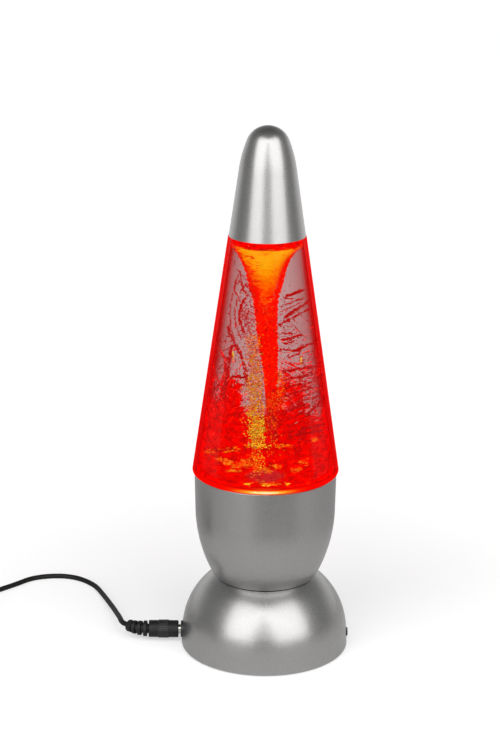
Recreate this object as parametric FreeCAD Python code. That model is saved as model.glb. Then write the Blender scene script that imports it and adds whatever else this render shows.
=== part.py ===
import FreeCAD, Part
import math
import os

# A tornado lamp: a magnet impeller under a sealed cone of liquid draws a vortex, lit from below.
# Sizes are in millimetres. The lamp stands on z = 0 and its axis is Z. The lead plugs in at -X,
# the switch is at +X, and the side seen in front is -Y.

# Outer form, from the table up
dome_height = 43.0  # table to the seam under the cup
cup_height = 62.0  # seam to the cup's rim
vessel_height = 135.1  # cup's rim to the cap's lower edge
cap_height = 59.9  # cap's lower edge to its tip
edge_gap = 0.8  # dome's lower edge above the table
foot_radius = 47.6  # dome at its lower edge
foot_taper = 0.4  # the dome's edge stands out this far from where its round begins
foot_top = 8.0  # height where the dome's round begins
dome_round = 42.0  # radius of the dome's round in section
cup_waist_radius = 39.5  # cup where its bowl ends
cup_bowl_height = 41.0  # seam to where the bowl ends
cup_flare = 0.45  # the cup's rim stands out this far from where its bowl ends
vessel_overhang = 1.35  # the cone, carried down to the cup's rim, stands out this far from it
vessel_top_radius = 21.3
vessel_rim_round = 1.3
cap_low_radius = 20.98
cap_taper = 8.36  # degrees from the axis
cap_side_round = 67.0  # radius that bends the cone into the nose
cap_nose_round = 12.31
seam_bevel = 0.35

# Walls and general clearances
dome_wall = 2.2
cup_wall = 2.0
vessel_wall = 2.2
cap_wall = 1.8
floor_wall = 2.5  # the cup's floor and the dome's deck
slip = 0.1  # between parts that sit in each other
loose = 0.3  # between parts that move past each other
screw_slip = 0.05

# Vessel, its neck and what closes it
collar_depth = 15.0  # the vessel's collar below the cup's rim
collar_gap = 0.22
collar_wall = 2.25
vessel_step = 0.8  # the floor disc seats against this step
neck_height = 9.9  # the vessel's neck inside the cap
neck_wall = 2.0
fill_hole_radius = 7.0
fill_lip = 2.5  # thickness of the lip round the filling hole
fill_lip_height = 4.0
stopper_length = 8.0
stopper_head = 2.5
seal_thickness = 1.0
gasket_thickness = 1.0
vessel_floor_drop = 6.4  # vessel floor's top below the cup's rim
vessel_floor_thickness = 2.5

# Liquid and its vortex
fill_drop = 3.9  # liquid level at the wall, below the cap's lower edge
core_radius = 1.6  # the air core low down
core_widening = 17.0
core_decay = 33.0
dish_depth = 7.7  # the flared top of the vortex

# Impeller and its drive
impeller_radius = 11.0
impeller_disc = 2.0
impeller_vane_height = 2.0
impeller_vane_thickness = 1.0
impeller_vanes = 8
impeller_lift = 0.8  # disc above the vessel's floor
impeller_hub_radius = 2.0
impeller_pin_radius = 0.75
pin_boss_radius = 2.2
running_fit = 0.05
magnet_radius = 2.25
magnet_thickness = 1.5
magnet_offset = 3.9
drive_magnet_thickness = 3.0
drive_hub_radius = 6.6
drive_hub_height = 3.9
hub_lift = 2.0  # magnet hub above the bracket

# Motor
motor_radius = 12.2
motor_length = 12.3
motor_can_wall = 0.8
motor_boss_radius = 3.0
motor_boss_height = 1.5
motor_screw_offset = 8.5
end_cap_thickness = 1.6
field_thickness = 2.0
rotor_gap = 0.7
shaft_radius = 1.0
bush_radius = 2.2
commutator_radius = 1.9

# Bracket, light board and lamps
bracket_thickness = 2.5
ledge_thickness = 3.0
ledge_width = 7.5
bracket_screw_inset = 6.3  # from the cup's outside
board_lift = 2.8  # light board above the bracket
board_thickness = 1.6
board_inner_radius = 8.0
board_outer_radius = 18.0
board_screw_offset = 13.5
lamp_offset = 14.0
lamp_size = 5.0
lamp_height = 1.6
lamp_count = 6
lamp_lens_radius = 1.9
lamp_lens_rise = 0.3

# Base: deck, posts, bottom plate and feet
wire_hole_radius = 8.0
deck_screw_offset = 20.0
plate_thickness = 2.0
post_radius = 3.5
post_inset = 14.6  # from the dome's edge
rubber_foot_radius = 4.5
rubber_foot_height = 1.6
rubber_foot_inset = 10.6  # from the dome's edge
housing_screw_radius = 1.2
housing_screw_head = 2.5
housing_screw_head_height = 1.0
plate_screw_bite = 9.0
deck_screw_bite = 4.5
cup_boss_radius = 3.2
cup_boss_height = 6.5
switch_post_height = 6.2

# Power socket and switch
socket_height = 7.0  # its axis above the table
socket_flange_radius = 4.9
socket_flange_thickness = 1.1
socket_barrel_radius = 3.85
socket_length = 14.0
socket_sink = 0.6  # flat seat of the flange inside the dome's edge
socket_bore_radius = 2.9
socket_bore_depth = 10.5
socket_pin_radius = 1.0
socket_ear_reach = 5.0
socket_ear_root = 3.2
socket_tail = 1.4
switch_height = 6.3
knob_proud = 0.5  # the knob's face outside the dome's edge
knob_width = 4.0
knob_height = 3.5
knob_travel = 3.0
switch_depth = 4.8
switch_width = 11.0
switch_tall = 6.8
switch_inset = 4.1  # front of the switch's body inside the dome's edge
terminal_length = 2.4
terminal_pitch = 2.54

# Lead: plug at the lamp, cord, coil and the plug at its far end
cord_diameter = 3.0
plug_gap = 1.5  # bare barrel seen between the socket and the grip
plug_barrel_radius = 2.75
plug_barrel_bore = 1.15
plug_barrel_length = 9.5
plug_grip_radius = 4.9
plug_grip_length = 17.0
plug_belt_radius = 5.2
plug_belt_length = 6.0
relief_length = 12.7
relief_turn = 38.0  # degrees it has bent towards +Y
relief_core_radius = 2.7
relief_rib_large = 4.55
relief_rib_small = 3.5
relief_ribs = 4
coil_centre_x = -192.0
coil_centre_y = 24.5
coil_radius = 19.25  # outermost turn, to the cord's middle
coil_pitch = 3.5
coil_climb_room = 0.6  # a half turn that climbs a layer passes its neighbours by this more
coil_layers = 4
coil_layer_halves = 4  # half turns that lie flat in each layer
tie_width = 4.0
tie_thickness = 0.5
usb_width = 16.0
usb_thickness = 8.0
usb_grip_length = 24.0
usb_relief_length = 9.0
usb_relief_radius = 2.6
usb_shell_width = 12.0
usb_shell_thickness = 4.5
usb_shell_length = 12.0
usb_shell_wall = 0.3
usb_tongue_thickness = 1.9

# The cord's middle line, chosen by hand: x, y and the height of its underside above the table.
# It starts at the relief's end and ends in the coil's lowest turn.
cord_points = [
    (-83.2, 9.4, 5.3),
    (-84.6, 15.8, 4.9),
    (-86.4, 22.3, 4.0),
    (-89.9, 34.7, 2.5),
    (-97.6, 57.9, 0.4),
    (-105.5, 76.7, 0),
    (-121.6, 89.2, 0),
    (-143.0, 86.5, 0),
    (-154.5, 73.3, 0),
    (-163.0, 65.7, 0),
    (-170.7, 55.6, 0.1),
]
cord_start_run = 3.6
coil_entry_run = 13.5
# Corners of the supply wires' middle lines between their ends, chosen by hand
wire_start_run = 8.0
socket_switch_points = [(-11.5, 11.0, 5.2), (2.0, 13.0, 4.4), (20.0, 9.5, 4.8)]
switch_board_points = [(16.2, 2.0, 9.0), (5.5, 3.4, 22.0), (4.2, 3.6, 43.0), (5.8, 2.6, 53.5)]
socket_board_points = [(-11.5, -3.4, 9.5), (-2.0, -4.4, 22.0), (3.0, -4.0, 43.0), (5.4, -2.8, 53.5)]
# From the coil's top turn down to the plug at the cord's far end, from the coil's end outward:
# x and y from there, and the share of the way down
tail_points = [
    (0, 8, 0),
    (-0.7, 19, 0.36),
    (-2.0, 31.5, 0.86),
    (-2.3, 42.5, 1),
    (-2.3, 51, 1),
]

# Heights and radii that follow
seam_z = dome_height
rim_z = seam_z + cup_height
seat_z = rim_z + vessel_height
lamp_top = seat_z + cap_height
taper = math.radians(cap_taper)
foot_top_radius = foot_radius - foot_taper
cup_rim_radius = cup_waist_radius + cup_flare
vessel_low_radius = cup_rim_radius + vessel_overhang
ledge_inner_radius = cup_waist_radius - cup_wall - ledge_width
bracket_screw_offset = cup_waist_radius - bracket_screw_inset
post_offset = foot_radius - post_inset
rubber_foot_offset = foot_radius - rubber_foot_inset
socket_seat = foot_radius - socket_sink
knob_reach = foot_radius + knob_proud
switch_seat = foot_radius - switch_inset
dome_centre = foot_top_radius - dome_round
bowl_top = seam_z + cup_bowl_height
vessel_slope = (vessel_low_radius - vessel_top_radius) / vessel_height
vessel_tilt = math.atan(vessel_slope)
floor_top = rim_z - vessel_floor_drop
floor_low = floor_top - vessel_floor_thickness
collar_foot = rim_z - collar_depth
bracket_top = collar_foot - gasket_thickness
bracket_low = bracket_top - bracket_thickness
ledge_low = bracket_low - ledge_thickness
motor_low = bracket_low - motor_length
board_low = bracket_top + board_lift
board_top = board_low + board_thickness
lamp_top_z = board_top + lamp_height
plate_top = edge_gap + plate_thickness
plate_screw_seat = edge_gap + housing_screw_head_height + slip
housing_screw_hole = housing_screw_radius + 0.25
deck_low = seam_z - floor_wall
cup_floor = seam_z + floor_wall
neck_top = seat_z + neck_height
fill_lip_top = neck_top + fill_lip_height
disc_low = floor_top + impeller_lift
disc_top = disc_low + impeller_disc
vane_top = disc_top + impeller_vane_height
liquid_level = seat_z - fill_drop
socket_front = socket_seat + socket_flange_thickness
shaft_top = board_top + 1.0
hub_low = bracket_top + hub_lift
hub_top = hub_low + drive_hub_height
deck_screw_angles = (90, 210, 330)
post_angles = (30, 150, 270)
foot_angles = (45, 135, 225, 315)
bracket_screw_angles = (30, 150, 270)
board_screw_angles = (60, 180, 300)
supply_pad_angle = 0
motor_pad_angle = 120
pad_offset = board_outer_radius - 0.9
wire_radius = 0.6
wire_pair_gap = 2.4

origin = FreeCAD.Vector(0, 0, 0)
up = FreeCAD.Vector(0, 0, 1)


# Drawing helpers


def at(x, y, z):
    return FreeCAD.Vector(x, y, z)


def cone_radius(z):
    """Outer radius of the vessel's cone at a height."""
    return vessel_low_radius - vessel_slope * (z - rim_z)


def outline(*corners):
    """Closed wire in the XZ plane from corners (r, z) or (r, z, fillet).

    A corner ("via", r, z) makes the side it stands on an arc through that point."""
    knots, vias = [], {}
    for corner in corners:
        if corner[0] == "via":
            vias[len(knots) - 1] = at(corner[1], 0, corner[2])
        else:
            knots.append(corner)
    spots = [at(k[0], 0, k[1]) for k in knots]
    arrive, leave, rounds = list(spots), list(spots), {}
    for i, knot in enumerate(knots):
        if len(knot) == 3:
            back = (spots[i - 1] - spots[i]).normalize()
            ahead = (spots[(i + 1) % len(spots)] - spots[i]).normalize()
            half = back.getAngle(ahead) / 2
            arrive[i] = spots[i] + back * (knot[2] / math.tan(half))
            leave[i] = spots[i] + ahead * (knot[2] / math.tan(half))
            inward = (back + ahead).normalize()
            rounds[i] = spots[i] + inward * (knot[2] / math.sin(half) - knot[2])
    edges = []
    for i in range(len(knots)):
        j = (i + 1) % len(knots)
        if i in rounds:
            edges.append(Part.Arc(arrive[i], rounds[i], leave[i]).toShape())
        if i in vias:
            edges.append(Part.Arc(leave[i], vias[i], arrive[j]).toShape())
        elif leave[i].distanceToPoint(arrive[j]) > 1e-6:
            edges.append(Part.LineSegment(leave[i], arrive[j]).toShape())
    return Part.Wire(edges)


def turned(*corners):
    """Solid of revolution about Z."""
    return one(Part.Face(outline(*corners)).revolve(origin, up, 360))


def one(shape):
    """The single solid that a shape should hold."""
    if len(shape.Solids) != 1:
        raise ValueError("expected one solid, found %d" % len(shape.Solids))
    return shape.Solids[0]


def rod(radius, low, high, x=0.0, y=0.0):
    return Part.makeCylinder(radius, high - low, at(x, y, low))


def ring(inner, outer, low, high, x=0.0, y=0.0):
    return rod(outer, low, high, x, y).cut(rod(inner, low - 1, high + 1, x, y))


def block(x0, x1, y0, y1, z0, z1):
    return Part.makeBox(x1 - x0, y1 - y0, z1 - z0, at(x0, y0, z0))


def along_x(radius, x0, x1, y, z):
    """Round bar from x0 to x1."""
    return Part.makeCylinder(radius, x1 - x0, at(x0, y, z), at(1, 0, 0))


def polar(offset, degrees):
    angle = math.radians(degrees)
    return offset * math.cos(angle), offset * math.sin(angle)


def spun(shape, degrees):
    copy = shape.copy()
    copy.rotate(origin, up, degrees)
    return copy


def placed_round(shape, angles):
    """The same solid at several angles about Z."""
    return [spun(shape, angle) for angle in angles]


def group(shapes):
    return Part.makeCompound([solid for shape in shapes for solid in shape.Solids])


def arc_reach(radius, centre, height):
    """Radius from the axis of a round in section, at a height over its centre."""
    return centre + math.sqrt(radius**2 - height**2)


# Screws


def screw(x, y, seat, tip, head_radius, head_height, shank_radius):
    """Pan head screw along Z. Its head lies under seat where tip is above it, else over seat."""
    way = 1 if tip > seat else -1
    shank = rod(shank_radius, min(seat, tip), max(seat, tip), x, y)
    face = seat - way * head_height
    head = rod(head_radius, min(seat, face), max(seat, face), x, y)
    edge = [e for e in head.Edges if abs(e.BoundBox.ZMin - face) < 1e-6 and e.BoundBox.ZLength < 1e-6]
    head = head.makeFillet(0.3 * head_height, edge)
    arm, slot, deep = 0.6 * head_radius, 0.16 * head_radius, 0.5 * head_height
    low, high = min(face, face + way * deep), max(face, face + way * deep)
    low, high = (low - 1, high) if way > 0 else (low, high + 1)
    cross = [
        block(x - arm, x + arm, y - slot, y + slot, low, high),
        block(x - slot, x + slot, y - arm, y + arm, low, high),
    ]
    return one(head.fuse(shank).removeSplitter().cut(cross))


def housing_screw(x, y, seat, tip):
    head, height = housing_screw_head, housing_screw_head_height
    return screw(x, y, seat, tip, head, height, housing_screw_radius)


# Dome, the lower housing


def dome_section(offset, low):
    """Section of the dome's outer skin moved inward by offset, closed along the axis."""
    radius = dome_round - offset
    top = seam_z if offset == 0 else deck_low
    bevel = seam_bevel if offset == 0 else 0.0
    shoulder = arc_reach(radius, dome_centre, top - bevel - foot_top)
    middle = math.radians(35)
    band = foot_top_radius - offset
    corners = [
        (0, low),
        (foot_radius - offset, low),
        (band, foot_top),
        ("via", dome_centre + radius * math.cos(middle), foot_top + radius * math.sin(middle)),
        (shoulder, top - bevel),
        (shoulder - bevel, top),
        (0, top),
    ]
    return [c for i, c in enumerate(corners) if bevel or i != 5]


def dome():
    skin = turned(*dome_section(0, edge_gap))
    hollow = turned(*dome_section(dome_wall, edge_gap - 1))
    posts = []
    for angle in post_angles:
        x, y = polar(post_offset, angle)
        posts.append(rod(post_radius, plate_top, seam_z, x, y).common(skin))
    body = skin.cut(hollow).fuse(posts).removeSplitter()
    cuts = [rod(wire_hole_radius, deck_low - 1, seam_z + 1)]
    for angle in deck_screw_angles:
        x, y = polar(deck_screw_offset, angle)
        cuts.append(rod(housing_screw_hole, deck_low - 1, seam_z + 1, x, y))
    for angle in post_angles:
        x, y = polar(post_offset, angle)
        bite = 1.3 * plate_screw_bite
        cuts.append(rod(housing_screw_radius + screw_slip, plate_top - 1, plate_top + bite, x, y))
    # Hole and flat seat of the power socket, and the slot of the switch
    inside = foot_radius - 4 * dome_wall
    cuts.append(along_x(socket_barrel_radius + slip, -foot_radius - 1, -inside, 0, socket_height))
    cuts.append(along_x(socket_flange_radius + slip, -foot_radius - 2, -socket_seat, 0, socket_height))
    half = (knob_width + knob_travel) / 2 + loose
    middle = -knob_travel / 2
    tall = knob_height / 2 + loose
    low, high = switch_height - tall, switch_height + tall
    cuts.append(block(inside, foot_radius + 1, middle - half, middle + half, low, high))
    return one(body.cut(cuts))


def bottom_plate():
    """Disc that closes the dome, with the two posts that hold the switch."""
    inside = foot_radius - dome_wall - 2 * slip
    plate = turned(
        (0, edge_gap),
        (inside, edge_gap, 0.4),
        (inside, plate_top),
        (0, plate_top),
    )
    posts = []
    for side in (-1, 1):
        y0, y1 = sorted((side * (switch_width / 2 + 0.3), side * (switch_width / 2 + 2.5)))
        y0, y1 = y0 - knob_travel / 2, y1 - knob_travel / 2
        top = plate_top + switch_post_height
        posts.append(block(switch_seat - 3.0, switch_seat - slip, y0, y1, plate_top, top))
    cuts = []
    for angle in post_angles:
        x, y = polar(post_offset, angle)
        cuts.append(rod(housing_screw_hole, edge_gap - 1, plate_top + 1, x, y))
        cuts.append(rod(housing_screw_head + 0.2, edge_gap - 1, plate_screw_seat, x, y))
    for angle in foot_angles:
        x, y = polar(rubber_foot_offset, angle)
        cuts.append(rod(rubber_foot_radius + slip, edge_gap - 1, rubber_foot_height, x, y))
    return one(plate.fuse(posts).removeSplitter().cut(cuts))


def bottom_screws():
    parts = []
    for angle in post_angles:
        x, y = polar(post_offset, angle)
        parts.append(housing_screw(x, y, plate_screw_seat, plate_top + plate_screw_bite))
    return group(parts)


def rubber_feet():
    r, h = rubber_foot_radius, rubber_foot_height
    foot = turned((0, 0), (r, 0, 0.4), (r, h), (0, h))
    parts = []
    for angle in foot_angles:
        x, y = polar(rubber_foot_offset, angle)
        copy = foot.copy()
        copy.translate(at(x, y, 0))
        parts.append(copy)
    return group(parts)


# Cup, the upper housing


def cup_round():
    """Radius of the bowl in section, tangent to the upright wall at its top."""
    seam_radius = arc_reach(dome_round, dome_centre, seam_z - seam_bevel - foot_top)
    inset = cup_waist_radius - seam_radius
    return (inset**2 + cup_bowl_height**2) / (2 * inset)


def bowl_radius(z, offset=0.0):
    """Radius of the bowl's skin, moved inward by offset, at a height."""
    radius = cup_round()
    return cup_waist_radius - radius + math.sqrt((radius - offset) ** 2 - (bowl_top - z) ** 2)


def cup_wall_radius(z):
    """Inner radius of the cup's upright wall."""
    share = (z - bowl_top) / (rim_z - bowl_top)
    return cup_waist_radius + share * (cup_rim_radius - cup_waist_radius) - cup_wall


def cup():
    low = seam_z + seam_bevel
    half_z = (low + bowl_top) / 2
    skin = turned(
        (0, seam_z),
        (bowl_radius(low) - seam_bevel, seam_z),
        (bowl_radius(low), low),
        ("via", bowl_radius(half_z), half_z),
        (cup_waist_radius, bowl_top),
        (cup_rim_radius, rim_z, 0.5),
        (0, rim_z),
    )
    mid_z = (cup_floor + bowl_top) / 2
    hollow = turned(
        (0, cup_floor),
        (bowl_radius(cup_floor, cup_wall), cup_floor),
        ("via", bowl_radius(mid_z, cup_wall), mid_z),
        (cup_waist_radius - cup_wall, bowl_top),
        (cup_rim_radius - cup_wall, rim_z),
        (cup_rim_radius - cup_wall, rim_z + 1),
        (0, rim_z + 1),
    )
    adds = [ring(ledge_inner_radius, cup_waist_radius - cup_wall / 2, ledge_low, bracket_low)]
    for angle in deck_screw_angles:
        x, y = polar(deck_screw_offset, angle)
        adds.append(rod(cup_boss_radius, seam_z + 1, cup_floor + cup_boss_height, x, y))
    body = skin.cut(hollow).fuse(adds).removeSplitter()
    cuts = [rod(wire_hole_radius, seam_z - 1, cup_floor + 1)]
    for angle in deck_screw_angles:
        x, y = polar(deck_screw_offset, angle)
        bite = cup_boss_height - 1
        cuts.append(rod(housing_screw_radius + screw_slip, seam_z - 1, cup_floor + bite, x, y))
    for angle in bracket_screw_angles:
        x, y = polar(bracket_screw_offset, angle)
        cuts.append(rod(1.05, ledge_low - 1, bracket_low + 1, x, y))
    return one(body.cut(cuts))


def cup_screws():
    parts = []
    for angle in deck_screw_angles:
        x, y = polar(deck_screw_offset, angle)
        parts.append(housing_screw(x, y, deck_low, cup_floor + deck_screw_bite))
    return group(parts)


# Bracket, motor and magnetic drive


def motor_bracket():
    """Disc on the cup's ledge that hangs the motor and carries the light board."""
    outer = cup_wall_radius(bracket_low) - 0.25
    plate = ring(motor_boss_radius + slip, outer, bracket_low, bracket_top)
    lifts = []
    for angle in board_screw_angles:
        x, y = polar(board_screw_offset, angle)
        lifts.append(rod(1.5, bracket_low + 1, board_low, x, y))
    cuts = []
    for angle in bracket_screw_angles:
        x, y = polar(bracket_screw_offset, angle)
        cuts.append(rod(1.2, bracket_low - 1, bracket_top + 1, x, y))
    for angle in (90, 270):
        x, y = polar(motor_screw_offset, angle)
        cuts.append(rod(1.1, bracket_low - 1, bracket_top + 1, x, y))
        cuts.append(rod(1.9, bracket_top - 0.6, bracket_top + 1, x, y))
    for angle in board_screw_angles:
        x, y = polar(board_screw_offset, angle)
        cuts.append(rod(0.65, bracket_low - 1, board_low + 1, x, y))
    for angle in (supply_pad_angle, motor_pad_angle):
        hole = rod(wire_radius + loose, bracket_low - 1, bracket_top + 1, pad_offset, wire_pair_gap / 2)
        twin = rod(wire_radius + loose, bracket_low - 1, bracket_top + 1, pad_offset, -wire_pair_gap / 2)
        cuts += [spun(hole, angle), spun(twin, angle)]
    return one(plate.fuse(lifts).removeSplitter().cut(cuts))


def bracket_screws():
    parts = []
    for angle in bracket_screw_angles:
        x, y = polar(bracket_screw_offset, angle)
        parts.append(screw(x, y, bracket_top, ledge_low - 0.5, 1.9, 1.4, 1.0))
    return group(parts)


def motor_screws():
    parts = []
    for angle in (90, 270):
        x, y = polar(motor_screw_offset, angle)
        parts.append(screw(x, y, bracket_top - 0.6, bracket_low - 1.4, 1.7, 1.0, 0.95))
    return group(parts)


def motor_can():
    """Drawn steel can, open below, with the boss of its upper bush."""
    top = bracket_low
    inner = motor_radius - motor_can_wall
    shell = turned((0, motor_low), (motor_radius, motor_low), (motor_radius, top, 0.8), (0, top))
    boss = rod(motor_boss_radius, top - 0.5, top + motor_boss_height)
    cuts = [
        rod(inner, motor_low - 1, top - motor_can_wall),
        rod(bush_radius, top - 1, top + motor_boss_height + 1),
    ]
    for angle in (90, 270):
        x, y = polar(motor_screw_offset, angle)
        cuts.append(rod(1.0, top - 1, top + 1, x, y))
    return one(shell.fuse(boss).removeSplitter().cut(cuts))


def motor_end_cap():
    r = motor_radius - motor_can_wall - screw_slip
    disc = turned(
        (bush_radius, motor_low),
        (r, motor_low, 0.3),
        (r, motor_low + end_cap_thickness),
        (bush_radius, motor_low + end_cap_thickness),
    )
    return disc


def motor_bushes():
    inner = shaft_radius + running_fit
    outer = bush_radius - 0.02
    return group(
        [
            ring(inner, outer, bracket_low - 0.7, bracket_low + motor_boss_height),
            ring(inner, outer, motor_low, motor_low + end_cap_thickness),
        ]
    )


def motor_magnets():
    """Two curved field magnets inside the can."""
    outer = motor_radius - motor_can_wall - screw_slip
    full = ring(outer - field_thickness, outer, motor_low + 2.4, bracket_low - 1.6)
    gaps = [block(-20, 20, -1.6, 1.6, motor_low, bracket_low)]
    return group([full.cut(gaps)])


def motor_rotor():
    """Slotted core on the shaft, three poles, with the commutator under it."""
    outer = motor_radius - motor_can_wall - screw_slip - field_thickness - rotor_gap
    low, high = motor_low + 3.6, bracket_low - 2.8
    core = ring(shaft_radius, outer, low, high)
    slots = []
    for angle in (30, 150, 270):
        slots.append(spun(block(3.2, 20, -0.9, 0.9, low - 1, high + 1), angle))
        slots.append(spun(rod(1.9, low - 1, high + 1, 5.2, 0), angle))
    commutator = ring(shaft_radius, commutator_radius, motor_low + 2.0, low)
    return one(core.cut(slots).fuse(commutator).removeSplitter())


def motor_windings():
    """Copper wound in the core's three slots."""
    low, high = motor_low + 3.0, bracket_low - 2.2
    coil = rod(1.75, low, high, 5.2, 0)
    return group(placed_round(coil, (30, 150, 270)))


def motor_shaft():
    return turned(
        (0, motor_low - 0.4),
        (shaft_radius, motor_low - 0.4, 0.2),
        (shaft_radius, shaft_top, 0.2),
        (0, shaft_top),
    )


def motor_terminals():
    """Two contact tabs under the motor's end cap."""
    tabs = []
    for side in (-1, 1):
        y0, y1 = sorted((side * 0.7, side * 1.7))
        tab = block(5.7, 6.1, y0, y1, motor_low - 4.2, motor_low)
        tabs.append(spun(tab, motor_pad_angle))
    return group(tabs)


def drive_hub():
    """Magnet carrier pressed on the motor's shaft."""
    r = drive_hub_radius
    hub = turned(
        (shaft_radius, hub_low),
        (r, hub_low, 0.4),
        (r, hub_top, 0.4),
        (shaft_radius, hub_top),
    )
    pockets = []
    for angle in (0, 180):
        x, y = polar(magnet_offset, angle)
        pockets.append(rod(magnet_radius, hub_top - drive_magnet_thickness, hub_top + 1, x, y))
    return one(hub.cut(pockets))


def drive_magnets():
    parts = []
    for angle in (0, 180):
        x, y = polar(magnet_offset, angle)
        parts.append(
            rod(magnet_radius - 0.02, hub_top - drive_magnet_thickness, hub_top - 0.05, x, y)
        )
    return group(parts)


# Light board


def light_board():
    plate = ring(board_inner_radius, board_outer_radius, board_low, board_top)
    cuts = []
    for angle in board_screw_angles:
        x, y = polar(board_screw_offset, angle)
        cuts.append(rod(0.85, board_low - 1, board_top + 1, x, y))
    return one(plate.cut(cuts))


def board_screws():
    parts = []
    for angle in board_screw_angles:
        x, y = polar(board_screw_offset, angle)
        parts.append(screw(x, y, board_top, bracket_top - 1.5, 1.2, 0.9, 0.6))
    return group(parts)


def lamp_angles():
    return [30 + k * 360 / lamp_count for k in range(lamp_count)]


def lamp_housings():
    """Square lamp bodies with a round well for the glowing lens."""
    half = lamp_size / 2
    body = block(
        lamp_offset - half, lamp_offset + half, -half, half, board_top, board_top + lamp_height
    )
    well = rod(lamp_lens_radius, board_top + 0.7, board_top + lamp_height + 1, lamp_offset, 0)
    return group(placed_round(body.cut(well), lamp_angles()))


def lamp_lenses():
    r, low, high = lamp_lens_radius - 0.02, board_top + 0.7, board_top + lamp_height - 0.1
    round_radius = (r**2 + lamp_lens_rise**2) / (2 * lamp_lens_rise)
    half = high + lamp_lens_rise - round_radius + math.sqrt(round_radius**2 - r**2 / 4)
    lens = turned((0, low), (r, low), (r, high), ("via", r / 2, half), (0, high + lamp_lens_rise))
    lens.translate(at(lamp_offset, 0, 0))
    return group(placed_round(lens, lamp_angles()))


def board_resistors():
    """Small chip resistors between the lamps."""
    chip = block(board_inner_radius + 1.0, board_inner_radius + 3.0, -0.6, 0.6, board_top, board_top + 0.55)
    return group(placed_round(chip, (0, 120, 240)))


# Vessel, its floor, neck and stopper


def neck_radius(z):
    """Outer radius of the neck, which follows the inside of the cap."""
    return cap_low_radius - (z - seat_z) * math.tan(taper) - cap_wall / math.cos(taper) - 0.15


def vessel_inside():
    """Corners of the vessel's inner skin, from its floor step to under the neck's top."""
    thick = vessel_wall / math.cos(vessel_tilt)
    step_radius = collar_outer() - collar_wall - vessel_step
    low, high = rim_z + 3.5, seat_z - 3.4
    return [
        (step_radius, floor_top),
        (step_radius, rim_z - 2.0, 3.0),
        (cone_radius(low) - thick, low, 6.0),
        (cone_radius(high) - thick, high, 1.5),
        (neck_radius(seat_z) - neck_wall, seat_z + 1.0, 1.5),
        (neck_radius(neck_top) - neck_wall, neck_top - fill_lip, 1.0),
        (fill_hole_radius, neck_top - fill_lip),
    ]


def collar_outer():
    return cup_waist_radius - cup_wall - collar_gap + 0.17


def vessel():
    """Clear cone with a collar inside the cup and a neck inside the cap."""
    rim_radius = cone_radius(rim_z)
    collar = collar_outer()
    pocket = collar - collar_wall
    skin = [
        (collar, collar_foot),
        (collar, rim_z),
        (rim_radius, rim_z, vessel_rim_round),
        (vessel_top_radius, seat_z, 0.5),
        (neck_radius(seat_z), seat_z),
        (neck_radius(neck_top), neck_top, 0.8),
        (fill_hole_radius + fill_lip, neck_top),
        (fill_hole_radius + fill_lip, fill_lip_top, 0.3),
        (fill_hole_radius, fill_lip_top),
    ]
    inside = list(reversed(vessel_inside()))
    return turned(*skin, *inside, (pocket, floor_top), (pocket, collar_foot))


def vessel_floor():
    """Clear disc cemented into the collar, with the boss of the impeller's pin."""
    r = collar_outer() - collar_wall - screw_slip
    bore = impeller_pin_radius
    disc = turned(
        (0, floor_low),
        (r, floor_low, 0.4),
        (r, floor_top),
        (pin_boss_radius, floor_top),
        (pin_boss_radius, disc_low - loose, 0.2),
        (bore, disc_low - loose),
        (bore, floor_low + 0.8),
        (0, floor_low + 0.8),
    )
    return disc


def vessel_gasket():
    outer = collar_outer()
    return ring(outer - collar_wall + 0.2, outer - 0.1, bracket_top, collar_foot)


def filler_stopper():
    """Plug of the filling hole, with a slotted head."""
    r = fill_hole_radius - slip
    head = fill_hole_radius + fill_lip
    seat = fill_lip_top + seal_thickness
    body = turned(
        (0, fill_lip_top - stopper_length),
        (r, fill_lip_top - stopper_length, 0.8),
        (r, seat),
        (head, seat),
        (head, seat + stopper_head, 0.6),
        (0, seat + stopper_head),
    )
    slot = block(-head * 0.7, head * 0.7, -0.9, 0.9, seat + stopper_head - 1.2, seat + stopper_head + 1)
    return one(body.cut(slot))


def stopper_seal():
    return ring(fill_hole_radius, fill_hole_radius + fill_lip - 0.2, fill_lip_top, fill_lip_top + seal_thickness)


def vortex_radius(z):
    """Radius of the air core, which widens upward as the water turns slower."""
    return core_radius + core_widening * math.exp(-(liquid_level - z) / core_decay)


def vortex():
    """Solid of the air in the liquid: the core, its flared top and the impeller's room."""
    pocket, dish = vane_top + loose, liquid_level - dish_depth
    heights = [pocket + (dish - pocket) * k / 8 for k in range(9)]
    core = Part.BSplineCurve()
    core.interpolate([at(vortex_radius(z), 0, z) for z in heights])
    # The flare leaves the core's top in its own direction and ends near the wall
    rim = liquid_wall() - 0.5
    foot, top = at(vortex_radius(pocket), 0, pocket), at(vortex_radius(dish), 0, dish)
    lip = at(rim, 0, liquid_level)
    lean = math.atan((vortex_radius(dish) - core_radius) / core_decay)
    chord = lip - top
    half = math.atan2(chord.x, chord.z) - lean
    sagitta = chord.Length / 2 * math.tan(half / 2)
    middle = (top + lip) * 0.5 + at(-chord.z, 0, chord.x).normalize() * sagitta
    room = impeller_radius + loose
    spots = [
        lip,
        at(rim, 0, liquid_level + 1),
        at(0, 0, liquid_level + 1),
        at(0, 0, floor_top - 1),
        at(room, 0, floor_top - 1),
        at(room, 0, pocket),
        foot,
    ]
    edges = [Part.LineSegment(a, b).toShape() for a, b in zip(spots, spots[1:])]
    edges += [core.toShape(), Part.Arc(top, middle, lip).toShape()]
    return one(Part.Face(Part.Wire(edges)).revolve(origin, up, 360))


def liquid_wall():
    """Radius of the liquid at its level, under the vessel's shoulder."""
    low, high = vessel_inside()[3], vessel_inside()[4]
    share = (liquid_level - low[1]) / (high[1] - low[1])
    return low[0] + max(0, share) * (high[0] - low[0]) - slip


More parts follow.
